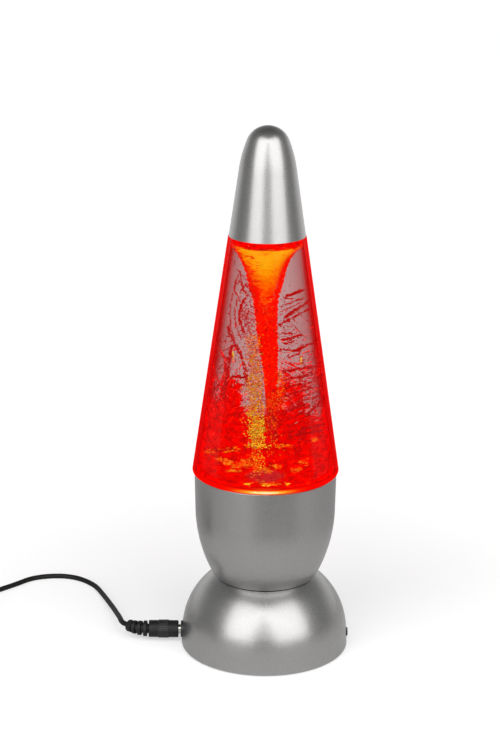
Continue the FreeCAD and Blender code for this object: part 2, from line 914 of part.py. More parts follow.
def liquid():
    """The liquid, with the vortex down its axis and room for the impeller."""
    low = floor_top + slip
    skin = [(corner[0] - slip, *corner[1:]) for corner in vessel_inside()[1:5]]
    body = turned((0, low), (skin[0][0], low), *skin, (skin[-1][0], neck_top), (0, neck_top))
    above = rod(vessel_low_radius, liquid_level, neck_top + 1)
    return one(body.cut([above, vortex()]))


def impeller():
    """Finned disc that spins on the pin and carries two magnets."""
    bore = impeller_pin_radius + running_fit
    disc = turned(
        (bore, disc_low),
        (impeller_radius, disc_low, 0.4),
        (impeller_radius, disc_top, 0.4),
        (impeller_hub_radius, disc_top),
        (impeller_hub_radius, vane_top, 0.3),
        (bore, vane_top),
    )
    half = impeller_vane_thickness / 2
    vane = block(impeller_hub_radius - 0.4, impeller_radius - 0.6, -half, half, disc_top - 0.3, vane_top)
    step = 360 / impeller_vanes
    body = disc.fuse(placed_round(vane, [k * step for k in range(impeller_vanes)])).removeSplitter()
    pockets = []
    for angle in (0, 180):
        x, y = polar(magnet_offset, angle)
        pockets.append(rod(magnet_radius, disc_low - 1, disc_low + magnet_thickness, x, y))
    return one(body.cut(pockets))


def impeller_magnets():
    parts = []
    for angle in (0, 180):
        x, y = polar(magnet_offset, angle)
        parts.append(rod(magnet_radius - 0.02, disc_low + 0.05, disc_low + magnet_thickness, x, y))
    return group(parts)


def impeller_pin():
    r = impeller_pin_radius - 0.005
    return turned((0, floor_low + 0.8), (r, floor_low + 0.8), (r, vane_top + 0.6, 0.3), (0, vane_top + 0.6))


# Cap


def cap_corners(offset):
    """Skin of the cap moved inward by offset: a cone, a long round and the nose, each tangent."""
    side, nose = cap_side_round - offset, cap_nose_round - offset
    cos_t, sin_t = math.cos(taper), math.sin(taper)
    nose_z = lamp_top - cap_nose_round
    # The side's centre slides along the cone until the nose's circle touches it inside
    base_r = cap_low_radius - cap_side_round * cos_t
    base_z = seat_z - cap_side_round * sin_t - nose_z
    reach = cap_side_round - cap_nose_round
    b = -base_r * sin_t + base_z * cos_t
    c = base_r**2 + base_z**2 - reach**2
    slide = -b - math.sqrt(b * b - c)
    centre_r = base_r - slide * sin_t
    centre_z = base_z + slide * cos_t + nose_z
    top_angle = math.atan2(nose_z - centre_z, -centre_r)
    low_r = cap_low_radius - offset / cos_t
    middle = (taper + top_angle) / 2
    cone_end = (centre_r + side * cos_t, centre_z + side * sin_t)
    nose_start = (nose * math.cos(top_angle), nose_z + nose * math.sin(top_angle))
    rise = (top_angle + math.pi / 2) / 2
    return [
        (low_r, seat_z),
        cone_end,
        ("via", centre_r + side * math.cos(middle), centre_z + side * math.sin(middle)),
        nose_start,
        ("via", nose * math.cos(rise), nose_z + nose * math.sin(rise)),
        (0, nose_z + nose),
    ]


def top_cap():
    skin = turned((0, seat_z), *cap_corners(0))
    hollow = turned((0, seat_z), *cap_corners(cap_wall))
    return one(skin.cut(hollow))


# Power socket, plug barrel and switch


def socket_body():
    """Round socket pushed in from outside, held by two ears behind the wall."""
    z = socket_height
    back = socket_seat - socket_length
    flange = along_x(socket_flange_radius, -socket_front, -socket_seat, 0, z)
    rim = [e for e in flange.Edges if abs(e.BoundBox.XMax + socket_front) < 1e-6]
    flange = flange.makeFillet(0.3, rim[:1])
    barrel = along_x(socket_barrel_radius, -socket_seat - 0.2, -back, 0, z)
    ear_x = foot_top_radius - dome_wall - 0.7
    ears = [
        block(-ear_x, -ear_x + 3.0, -socket_ear_reach, -socket_ear_root, z - 1.2, z + 1.2),
        block(-ear_x, -ear_x + 3.0, socket_ear_root, socket_ear_reach, z - 1.2, z + 1.2),
    ]
    bore = along_x(socket_bore_radius, -socket_front - 1, -socket_front + socket_bore_depth, 0, z)
    pin_hole = along_x(socket_pin_radius, -socket_front, -back + 1, 0, z)
    lug_slot = block(-back - 2.4, -back + 1, 1.5, 2.1, z - 1.0, z + 1.0)
    body = flange.fuse([barrel] + ears).removeSplitter()
    return one(body.cut([bore, pin_hole, lug_slot]))


def socket_pin():
    """Centre contact, with its tail behind the socket."""
    r = socket_pin_radius - 0.01
    back = socket_seat - socket_length
    start = -socket_front + 1.2
    pin = along_x(r, start, -back + socket_tail, 0, socket_height)
    tip = [e for e in pin.Edges if e.BoundBox.XMax < start + 1e-6]
    return one(pin.makeFillet(0.5, tip[:1]))


def socket_contact():
    """Side contact: a flat blade in the socket's back, with its tail."""
    z = socket_height
    back = socket_seat - socket_length
    return block(-back - 2.35, -back + socket_tail, 1.55, 2.05, z - 0.95, z + 0.95)


def knob_faces():
    half = knob_width / 2
    return -half, half, switch_height - knob_height / 2, switch_height + knob_height / 2


def switch_cavity():
    """Room in the switch for the knob's foot."""
    reach = knob_width / 2 + 1.0
    return block(
        switch_seat - 2.6,
        switch_seat + 1,
        -reach - knob_travel - loose,
        reach + loose,
        switch_height - 2.2 - loose,
        switch_height + 2.2 + loose,
    )


def switch_body():
    middle = -knob_travel / 2
    half = switch_width / 2
    low, high = switch_height - switch_tall / 2, switch_height + switch_tall / 2
    body = block(switch_seat - switch_depth, switch_seat, middle - half, middle + half, low, high)
    return one(body.cut(switch_cavity()))


def switch_frame():
    """Metal cover over the switch's front, with a slot for the knob and two ears."""
    y0, y1, z0, z1 = knob_faces()
    low, high = switch_height - switch_tall / 2, switch_height + switch_tall / 2
    middle = -knob_travel / 2
    reach = switch_width / 2 + 2.2
    plate = block(switch_seat, switch_seat + 0.5, middle - reach, middle + reach, low, high)
    slot = block(
        switch_seat - 1,
        switch_seat + 1,
        y0 - knob_travel - loose,
        y1 + loose,
        z0 - loose,
        z1 + loose,
    )
    return one(plate.cut(slot))


def switch_knob():
    """Slide knob with a ridged face. It stands at the ON end of its travel."""
    y0, y1, z0, z1 = knob_faces()
    foot = block(
        switch_seat - 2.3,
        switch_seat - loose,
        y0 - 1.0,
        y1 + 1.0,
        switch_height - 2.2,
        switch_height + 2.2,
    )
    stem = block(switch_seat - 1, knob_reach, y0, y1, z0, z1)
    edges = [e for e in stem.Edges if e.BoundBox.XMin > knob_reach - 1e-6]
    stem = stem.makeFillet(0.25, edges)
    body = foot.fuse(stem).removeSplitter()
    grooves = []
    for k in (-1, 0, 1):
        y = k * knob_width / 4
        grooves.append(block(knob_reach - 0.35, knob_reach + 1, y - 0.2, y + 0.2, z0 - 1, z1 + 1))
    return one(body.cut(grooves))


def switch_terminals():
    """Three tabs at the back of the switch."""
    back = switch_seat - switch_depth
    middle = -knob_travel / 2
    tabs = []
    for k in (-1, 0, 1):
        y = middle + k * terminal_pitch
        z0, z1 = switch_height - 0.2, switch_height + 0.2
        tabs.append(block(back - terminal_length, back, y - 0.5, y + 0.5, z0, z1))
    return group(tabs)


# Routes of wires and the cord


def rounded_route(points, title):
    """Straight runs joined by tangent arcs, and their length. Prints the arcs' radii."""
    spots = [at(*p) for p in points]
    edges, radii, start = [], [], spots[0]
    for before, here, after in zip(spots, spots[1:], spots[2:]):
        back, ahead = before - here, after - here
        shorter = min(back.Length, ahead.Length)
        turn = math.pi - back.getAngle(ahead)
        radius = 0.45 * shorter / math.tan(turn / 2)
        back.normalize()
        ahead.normalize()
        arrive, leave = here + back * 0.45 * shorter, here + ahead * 0.45 * shorter
        inward = (back + ahead).normalize()
        middle = here + inward * (radius / math.cos(turn / 2) - radius)
        edges.append(Part.LineSegment(start, arrive).toShape())
        edges.append(Part.Arc(arrive, middle, leave).toShape())
        radii.append(radius)
        start = leave
    edges.append(Part.LineSegment(start, spots[-1]).toShape())
    wire = Part.Wire(edges)
    print("%s: length %.1f, radii %s" % (title, wire.Length, ", ".join("%.1f" % r for r in radii)))
    return wire


def swept(wire, radius, title):
    """Round tube along a wire, checked against its section times its length."""
    edge = wire.Edges[0]
    start = edge.valueAt(edge.FirstParameter)
    way = edge.tangentAt(edge.FirstParameter)
    section = Part.Wire(Part.Circle(start, way, radius).toShape())
    tube = one(wire.makePipeShell([section], True, False))
    share = tube.Volume / (math.pi * radius**2 * wire.Length)
    print("%s: volume over section times length %.4f" % (title, share))
    return tube


def tube(points, radius, title):
    return swept(rounded_route(points, title), radius, title)


def moved(point, x):
    """The point, moved along X."""
    return (point[0] + x, point[1], point[2])


def pad_rise(y):
    """Upright end of a supply wire, up to its pad on the light board."""
    return [(pad_offset, y, motor_low - 4), (pad_offset, y, board_low)]


def supply_wires():
    """Three thin wires: socket to switch, switch to light board, socket to light board."""
    back = socket_seat - socket_length - socket_tail - 0.05
    tab = switch_seat - switch_depth - terminal_length - 0.05
    tab_y = -knob_travel / 2
    run = wire_start_run
    half = wire_pair_gap / 2
    side = (-back, 1.8, socket_height)
    centre = (-back, 0, socket_height)
    outer_tab = (tab, tab_y + terminal_pitch, switch_height)
    middle_tab = (tab, tab_y, switch_height)
    to_switch = [side, moved(side, run), *socket_switch_points, moved(outer_tab, -run), outer_tab]
    from_switch = [middle_tab, moved(middle_tab, -run), *switch_board_points, *pad_rise(half)]
    from_socket = [centre, moved(centre, run), *socket_board_points, *pad_rise(-half)]
    return group(
        [
            tube(to_switch, wire_radius, "wire, socket to switch"),
            tube(from_switch, wire_radius, "wire, switch to board"),
            tube(from_socket, wire_radius, "wire, socket to board"),
        ]
    )


def motor_wires():
    """Two thin wires from the motor's tabs up to the light board."""
    low = motor_low - 3.4
    wires = []
    for side in (-1, 1):
        y = side * wire_pair_gap / 2
        points = [
            (6.12, y, low),
            (pad_offset - 3.4, y, low),
            (pad_offset, y, low + 3.4),
            (pad_offset, y, board_low),
        ]
        name = "wire, motor %s" % ("left" if side < 0 else "right")
        wires.append(spun(tube(points, wire_radius, name), motor_pad_angle))
    return group(wires)


# The lead


def plug_barrel():
    """Metal sleeve of the plug, in the socket, with its root inside the grip."""
    front = socket_front + plug_gap
    tip = front - plug_barrel_length
    sleeve = along_x(plug_barrel_radius, -front - 2.0, -tip, 0, socket_height)
    bore = along_x(plug_barrel_bore, -front - 1.0, -tip + 1, 0, socket_height)
    rim = [e for e in sleeve.Edges if abs(e.BoundBox.XMin + tip) < 1e-6]
    return one(sleeve.makeFillet(0.25, rim[:1]).cut(bore))


def relief_point(share):
    """Point and heading on the relief's middle line, at a share of its length.

    It is an arc in the level plane that leaves the grip's back along -X."""
    start = at(-(socket_front + plug_gap + plug_grip_length), 0, socket_height)
    radius = relief_length / math.radians(relief_turn)
    angle = share * math.radians(relief_turn)
    spot = start + at(-radius * math.sin(angle), radius * (1 - math.cos(angle)), 0)
    return spot, at(-math.cos(angle), math.sin(angle), 0)


def plug_grip():
    """Moulded grip with a raised belt, and its ribbed relief, in one piece."""
    front = socket_front + plug_gap
    back = front + plug_grip_length
    z = socket_height
    grip = along_x(plug_grip_radius, -back, -front, 0, z)
    grip = grip.makeFillet(0.5, [e for e in grip.Edges if e.BoundBox.XLength < 1e-6])
    middle = (front + back) / 2
    half = plug_belt_length / 2
    belt = along_x(plug_belt_radius, -middle - half, -middle + half, 0, z)
    belt = belt.makeFillet(0.25, [e for e in belt.Edges if e.BoundBox.XLength < 1e-6])
    first, _ = relief_point(0)
    halfway, _ = relief_point(0.5)
    last, _ = relief_point(1)
    core = swept(
        Part.Wire(Part.Arc(first, halfway, last).toShape()), relief_core_radius, "plug relief"
    )
    ribs = []
    pitch = relief_length / relief_ribs
    for k in range(relief_ribs):
        share = (k + 0.35) / relief_ribs
        wide = pitch * (0.62 if k < relief_ribs - 1 else 0.98)
        share = share if k < relief_ribs - 1 else 1 - wide / relief_length
        fade = k / (relief_ribs - 1)
        radius = relief_rib_large + fade * (relief_rib_small - relief_rib_large)
        spot, heading = relief_point(share)
        if k == relief_ribs - 1:
            end, end_heading = relief_point(1)
            spot, heading = end - end_heading * wide, end_heading
        rib = Part.makeCylinder(radius, wide, spot, heading)
        ribs.append(rib.makeFillet(0.3, [e for e in rib.Edges if len(e.Vertexes) == 1]))
    body = grip.fuse([belt, core] + ribs).removeSplitter()
    root = along_x(plug_barrel_radius, -front - 2.0, -front + 1, 0, z)
    return one(body.cut(root))


def biarc(start, way, end, end_way):
    """Two arcs, tangent to each other and to the directions given at both ends."""
    gap = end - start
    both = way + end_way
    spare = 2 * (1 - way.dot(end_way))
    reach = (-gap.dot(both) + math.sqrt(gap.dot(both) ** 2 + spare * gap.dot(gap))) / spare
    first, second = start + way * reach, end - end_way * reach
    joint = (first + second) * 0.5
    arcs = []
    for a, corner, b in ((start, first, joint), (joint, second, end)):
        half = (corner - a).getAngle(b - corner) / 2
        chord = (a + b) * 0.5
        middle = chord + (corner - chord) * (math.cos(half) / (1 + math.cos(half)))
        arcs.append(Part.Arc(a, middle, b))
    return arcs


def coil_base():
    """Height of the lowest turn's middle: the tie passes under it."""
    return tie_thickness + 0.25 + cord_diameter / 2


def coil_arcs():
    """Clockwise half turns that spiral in and out, one layer up at each reversal."""
    centre = at(coil_centre_x, coil_centre_y, 0)
    radius, height, angle, inward = coil_radius, coil_base(), 0.0, -1
    spot, way, arcs = None, None, []
    for layer in range(coil_layers):
        for k in range(coil_layer_halves + 1):
            # A climbing half turn passes its neighbours with a little more room
            climbs = (k == 0 and layer > 0) or (k == coil_layer_halves and layer < coil_layers - 1)
            side = inward if k > 0 else -inward
            here_radius = radius + (side * coil_climb_room if climbs else 0.0)
            out = at(math.cos(angle), math.sin(angle), 0)
            here = centre + out * here_radius + at(0, 0, height)
            heading = at(math.sin(angle), -math.cos(angle), 0)
            if spot is not None:
                arcs += biarc(spot, way, here, heading)
            spot, way = here, heading
            radius += inward * coil_pitch / 2 if k < coil_layer_halves else 0.0
            angle -= math.pi
        height += coil_pitch
        inward = -inward
    return arcs


def coil_gap(arcs):
    """Least gap between the turns, measured on points along them."""
    points = []
    travelled = 0.0
    for arc in arcs:
        length = arc.length()
        steps = max(4, int(length / 1.0))
        for k in range(steps):
            share = k / steps
            parameter = arc.FirstParameter + share * (arc.LastParameter - arc.FirstParameter)
            points.append((travelled + share * length, arc.value(parameter)))
        travelled += length
    least = 1e9
    apart = math.pi * coil_radius * 0.6
    for i, (s, p) in enumerate(points):
        for t, q in points[i + 1 :]:
            if t - s > apart:
                least = min(least, p.distanceToPoint(q))
    return least - cord_diameter


def cord_coil():
    arcs = coil_arcs()
    begin, end = arcs[0], arcs[-1]
    start = begin.value(begin.FirstParameter)
    finish = end.value(end.LastParameter)
    lead_in = Part.LineSegment(start + at(0, cord_diameter, 0), start).toShape()
    lead_out = Part.LineSegment(finish, finish + at(0, cord_diameter, 0)).toShape()
    wire = Part.Wire([lead_in] + [arc.toShape() for arc in arcs] + [lead_out])
    print("coil: length %.1f, least gap between turns %.2f" % (wire.Length, coil_gap(arcs)))
    return swept(wire, cord_diameter / 2, "coil")


def cord_route():
    """Points of the cord from the relief's end to the coil's lowest turn."""
    half = cord_diameter / 2
    end, heading = relief_point(1)
    second = end + heading * cord_start_run
    x, y = coil_centre_x + coil_radius, coil_centre_y + cord_diameter
    middle = [(px, py, half + lift) for px, py, lift in cord_points]
    entry = [(x, y + coil_entry_run, coil_base()), (x, y, coil_base())]
    return [tuple(end), tuple(second)] + middle + entry


def tail_route():
    """Points of the cord from the coil's top turn down to the far plug."""
    x, y = coil_centre_x - coil_radius, coil_centre_y + cord_diameter
    top = coil_base() + (coil_layers - 1) * coil_pitch
    drop = top - usb_thickness / 2
    middle = [(x + dx, y + dy, top - share * drop) for dx, dy, share in tail_points]
    return [(x, y, top)] + middle


def cord_run():
    return tube(cord_route(), cord_diameter / 2, "cord")


def cord_tail():
    return tube(tail_route(), cord_diameter / 2, "cord tail")


def cord_tie():
    """Strap round the coil's turns, at the coil's front."""
    inner_turn = coil_radius - (coil_layer_halves + 0.5) * coil_pitch / 2
    near = coil_radius + coil_pitch / 4 + cord_diameter / 2 + 0.3
    far = inner_turn - cord_diameter / 2 - 0.3
    y0, y1 = coil_centre_y - near, coil_centre_y - far
    z1 = coil_base() + (coil_layers - 1) * coil_pitch + cord_diameter / 2 + 0.25
    x0, x1 = coil_centre_x - tie_width / 2, coil_centre_x + tie_width / 2
    t = tie_thickness
    strap = block(x0, x1, y0 - t, y1 + t, 0, z1 + t)
    strap = strap.makeFillet(1.0, [e for e in strap.Edges if e.BoundBox.XLength > tie_width / 2])
    room = block(x0 - 1, x1 + 1, y0, y1, t, z1)
    room = room.makeFillet(0.6, [e for e in room.Edges if e.BoundBox.XLength > tie_width / 2])
    return one(strap.cut(room))


def usb_grip():
    """Moulded body of the far plug, flat on the table, with a short round relief."""
    x, y, z = tail_route()[-1]
    y1 = y + usb_relief_length
    y2 = y1 + usb_grip_length
    grip = block(x - usb_width / 2, x + usb_width / 2, y1, y2, 0, usb_thickness)
    grip = grip.makeFillet(1.6, [e for e in grip.Edges if e.BoundBox.YLength > usb_grip_length / 2])
    relief = Part.makeCone(usb_relief_radius - 0.4, usb_relief_radius + 0.6, usb_relief_length + 1,
                           at(x, y, z), at(0, 1, 0))
    grooves = []
    for k in range(5):
        mid = y1 + usb_grip_length * 0.35 + k * 1.8
        for low, high in ((-1, 0.4), (usb_thickness - 0.4, usb_thickness + 1)):
            grooves.append(block(x - 4.5, x + 4.5, mid - 0.4, mid + 0.4, low, high))
    socket = block(
        x - usb_shell_width / 2, x + usb_shell_width / 2, y2 - 4, y2 + 1,
        z - usb_shell_thickness / 2, z + usb_shell_thickness / 2,
    )
    return one(grip.fuse(relief).removeSplitter().cut(grooves + [socket]))


def usb_front():
    x, y, z = tail_route()[-1]
    return x, y + usb_relief_length + usb_grip_length, z


def usb_shell():
    """Metal sleeve of the far plug, with its two windows on top."""
    x, y, z = usb_front()
    w, h, t = usb_shell_width / 2, usb_shell_thickness / 2, usb_shell_wall
    outer = block(x - w, x + w, y - 4, y + usb_shell_length, z - h, z + h)
    outer = outer.makeFillet(0.5, [e for e in outer.Edges if e.BoundBox.YLength > usb_shell_length / 2])
    room = block(x - w + t, x + w - t, y - 4 + t, y + usb_shell_length + 1, z - h + t, z + h - t)
    windows = []
    for side in (-1, 1):
        mid = x + side * 2.9
        windows.append(block(mid - 1.25, mid + 1.25, y + 5.2, y + 7.4, z, z + h + 1))
    return one(outer.cut([room] + windows))


def usb_tongue():
    """Insulating tongue, against the lower side of the shell."""
    x, y, z = usb_front()
    w = usb_shell_width / 2 - usb_shell_wall
    low = z - usb_shell_thickness / 2 + usb_shell_wall
    back = block(x - w, x + w, y - 4 + usb_shell_wall, y + 0.8, low, z + usb_shell_thickness / 2 - usb_shell_wall)
    blade = block(x - w, x + w, y, y + usb_shell_length - 0.8, low, low + usb_tongue_thickness)
    return one(back.fuse(blade).removeSplitter())


def usb_contacts():
    """Four flat contacts on the tongue."""
    x, y, z = usb_front()
    top = z - usb_shell_thickness / 2 + usb_shell_wall + usb_tongue_thickness
    strips = []
    for k in (-3.5, -1.0, 1.0, 3.5):
        strips.append(block(x + k - 0.5, x + k + 0.5, y + 1.2, y + usb_shell_length - 1.6, top, top + 0.15))
    return group(strips)


nodes = {
    "rubber_feet": rubber_feet,
    "bottom_plate": bottom_plate,
    "bottom_screws": bottom_screws,
    "dome": dome,
    "cup": cup,
    "cup_screws": cup_screws,
    "motor_bracket": motor_bracket,
    "bracket_screws": bracket_screws,
    "motor_can": motor_can,
    "motor_end_cap": motor_end_cap,
    "motor_bushes": motor_bushes,
    "motor_magnets": motor_magnets,
    "motor_rotor": motor_rotor,
    "motor_windings": motor_windings,
    "motor_shaft": motor_shaft,
    "motor_terminals": motor_terminals,
    "motor_screws": motor_screws,
    "drive_hub": drive_hub,
    "drive_magnets": drive_magnets,
    "light_board": light_board,
    "board_screws": board_screws,
    "board_resistors": board_resistors,
    "lamp_housings": lamp_housings,
    "lamp_lenses": lamp_lenses,
    "vessel_gasket": vessel_gasket,
    "vessel_floor": vessel_floor,
    "vessel": vessel,
    "liquid": liquid,
    "impeller": impeller,
    "impeller_magnets": impeller_magnets,
    "impeller_pin": impeller_pin,
    "filler_stopper": filler_stopper,
    "stopper_seal": stopper_seal,
    "top_cap": top_cap,
    "socket_body": socket_body,
    "socket_pin": socket_pin,
    "socket_contact": socket_contact,
    "switch_body": switch_body,
    "switch_frame": switch_frame,
    "switch_knob": switch_knob,
    "switch_terminals": switch_terminals,
    "supply_wires": supply_wires,
    "motor_wires": motor_wires,
    "plug_barrel": plug_barrel,
    "plug_grip": plug_grip,
    "cord_run": cord_run,
    "cord_coil": cord_coil,
    "cord_tail": cord_tail,
    "cord_tie": cord_tie,
    "usb_grip": usb_grip,
    "usb_shell": usb_shell,
    "usb_tongue": usb_tongue,
    "usb_contacts": usb_contacts,
}

os.makedirs("parts", exist_ok=True)
for name, make in nodes.items():
    shape = make()
    shape.exportStep("parts/%s.step" % name)
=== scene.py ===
import math
import random

import bpy
from mathutils import Matrix, Vector, noise


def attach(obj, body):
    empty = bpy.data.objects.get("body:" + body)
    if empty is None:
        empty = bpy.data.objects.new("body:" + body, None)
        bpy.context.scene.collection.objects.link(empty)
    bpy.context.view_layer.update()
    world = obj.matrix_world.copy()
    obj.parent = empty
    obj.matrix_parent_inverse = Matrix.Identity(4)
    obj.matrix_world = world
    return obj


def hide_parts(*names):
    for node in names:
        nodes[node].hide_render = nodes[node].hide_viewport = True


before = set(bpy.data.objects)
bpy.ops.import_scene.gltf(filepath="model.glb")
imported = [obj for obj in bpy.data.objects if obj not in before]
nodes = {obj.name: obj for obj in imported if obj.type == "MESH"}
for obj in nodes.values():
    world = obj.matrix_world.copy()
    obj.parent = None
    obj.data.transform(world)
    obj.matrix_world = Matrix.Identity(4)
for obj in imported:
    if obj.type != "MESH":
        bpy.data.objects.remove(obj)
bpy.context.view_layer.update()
scene = bpy.context.scene
MM = 0.001

# Sizes of the part, in millimetres and degrees. The vessel's wall leans in by TAPER per
# millimetre of height
RIM, RIM_RADIUS, WALL, TAPER = 105, 41.3, 2.224, 0.14804
FLOOR_TOP = 98.6
LAMP_RING = 14
LAMP_ANGLES = [30 + 60 * k for k in range(6)]
OUTSHINING = LAMP_ANGLES[::2]
CUP_SEAM = 43
# Height of the plug, and where its grip's belt rises from its axis
PLUG_HEIGHT, BELT_RISE = 7.0, (5.05, 5.15)
CORD_DIAMETER = 3.0

# The photo's frame in pixels, and the camera fitted to it: focal length in pixels, angles in
# radians, place in metres
FRAME_WIDTH, FRAME_HEIGHT = 500, 750
FOCAL = 1900
PITCH, YAW, ROLL = 0.2990418, -0.0089404, 0.0053449
CAMERA_PLACE = (0, -1.0059805, 0.4709227)
SENSOR = 36


def into_scene(name, data):
    made = bpy.data.objects.new(name, data)
    scene.collection.objects.link(made)
    return made


def inner_radius(z):
    """Inside of the vessel's wall at a height, in millimetres."""
    return RIM_RADIUS - TAPER * (z - RIM) - WALL


# Camera


def make_camera():
    forward = Vector(
        (math.sin(YAW) * math.cos(PITCH), math.cos(YAW) * math.cos(PITCH), -math.sin(PITCH))
    )
    right = Vector((math.cos(YAW), -math.sin(YAW), 0))
    upward = right.cross(forward)
    side = math.cos(ROLL) * right + math.sin(ROLL) * upward
    top = math.cos(ROLL) * upward - math.sin(ROLL) * right
    data = bpy.data.cameras.new("camera")
    data.sensor_fit = "VERTICAL"
    data.sensor_height = SENSOR
    data.lens = FOCAL * SENSOR / FRAME_HEIGHT
    data.clip_start = 0.05
    data.clip_end = 100
    camera = into_scene("camera", data)
    pose = Matrix((side, top, -forward)).transposed().to_4x4()
    pose.translation = CAMERA_PLACE
    camera.matrix_world = pose
    scene.camera = camera


make_camera()


def sight(px, py):
    """Start, in millimetres, and direction of the camera's ray at a point of the photo's frame."""
    matrix = scene.camera.matrix_world
    across = (px - FRAME_WIDTH / 2) / FOCAL
    upward = (FRAME_HEIGHT / 2 - py) / FOCAL
    way = matrix.to_3x3() @ Vector((across, upward, -1))
    return matrix.translation / MM, way.normalized()


def wall_point(px, py, share):
    """Where that ray meets the front of a cone at a share of the vessel's inner radius."""
    start, way = sight(px, py)
    slope = share * TAPER
    reach = share * inner_radius(0) - slope * start.z
    a = way.x**2 + way.y**2 - (slope * way.z) ** 2
    b = 2 * (start.x * way.x + start.y * way.y + slope * way.z * reach)
    c = start.x**2 + start.y**2 - reach**2
    rest = b * b - 4 * a * c
    if rest <= 0:
        return None
    return start + (-b - math.sqrt(rest)) / (2 * a) * way


# The free cord: points of its route, the radii and heights of the coil's turns, and its tail, in
# millimetres
RUN = [
    (-78.389, 4.059, 7.0), (-81.226, 6.276, 7.0), (-83.2, 9.4, 6.8), (-84.6, 15.8, 6.4),
    (-86.4, 22.3, 5.5), (-89.9, 34.7, 4.0), (-97.6, 57.9, 1.9), (-105.5, 76.7, 1.5),
    (-121.6, 89.2, 1.5), (-143, 86.5, 1.5), (-154.5, 73.3, 1.5), (-163, 65.7, 1.5),
    (-170.7, 55.6, 1.6), (-172.75, 41, 2.25), (-172.75, 30, 2.25),
]
COIL = [
    (2.25, (19.25, 17.5, 15.75, 14, 11.65)),
    (5.75, (11.65, 14, 15.75, 17.5, 19.85)),
    (9.25, (19.85, 17.5, 15.75, 14, 11.65)),
    (12.75, (11.65, 14, 15.75, 17.5, 19.25)),
]
COIL_CENTRE = (-192, 24.5)
TAIL = [
    (-211.25, 29, 12.75), (-211.25, 35.5, 12.75), (-211.95, 46.5, 9.6),
    (-213.25, 59, 5.2), (-213.55, 70, 4.0), (-213.55, 78.5, 4.0),
]
# Points of the coil per half turn, and the share of its radius left when corners are cut
HALF_TURN_POINTS, CORNER_SHARE = 8, 0.987


def coil_points():
    """The coil, half a turn from each radius to the next."""
    knots = [(radius, height) for height, radii in COIL for radius in radii]
    points = []
    for k, (start, end) in enumerate(zip(knots, knots[1:])):
        for i in range(HALF_TURN_POINTS):
            t = (i + 0.5) / HALF_TURN_POINTS
            ease = t * t * (3 - 2 * t)
            radius = (start[0] + (end[0] - start[0]) * ease) / CORNER_SHARE
            angle = -math.pi * (k + t)
            height = start[1] + (end[1] - start[1]) * ease
            x = COIL_CENTRE[0] + radius * math.cos(angle)
            y = COIL_CENTRE[1] + radius * math.sin(angle)
            points.append((x, y, height))
    return points


def cord_curve(name, points, diameter):
    data = bpy.data.curves.new(name, "CURVE")
    data.dimensions = "3D"
    data.resolution_u = 6
    data.bevel_depth = 1.0
    data.bevel_resolution = 6
    data.use_fill_caps = True
    spline = data.splines.new("NURBS")
    spline.points.add(len(points) - 1)
    for point, (x, y, z) in zip(spline.points, points):
        point.co = (x * MM, y * MM, z * MM, 1)
        point.radius = diameter / 2 * MM
    spline.order_u = 3
    spline.use_endpoint_u = True
    return into_scene(name, data)


cord = cord_curve("cord", RUN + coil_points() + TAIL, CORD_DIAMETER)
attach(cord, "lead")
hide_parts("cord_run", "cord_coil", "cord_tail")


# Nodes of a material or of the world, which is called m throughout


def put(m, socket, value):
    """Link another node's output to an input, or set the input's own value."""
    if isinstance(value, Output):
        m.node_tree.links.new(value.socket, socket)
    else:
        socket.default_value = (*value, 1) if socket.type == "RGBA" else value


def new_node(m, kind, values=None, **settings):
    made = m.node_tree.nodes.new("ShaderNode" + kind)
    for key, value in settings.items():
        setattr(made, key, value)
    for key, value in (values or {}).items():
        put(m, made.inputs[key], value)
    return made


def add(m, kind, values=None, output=0, **settings):
    """Output of a new node."""
    return Output(m, new_node(m, kind, values, **settings).outputs[output])


def math_node(m, operation, *values):
    return add(m, "Math", dict(enumerate(values)), operation=operation)


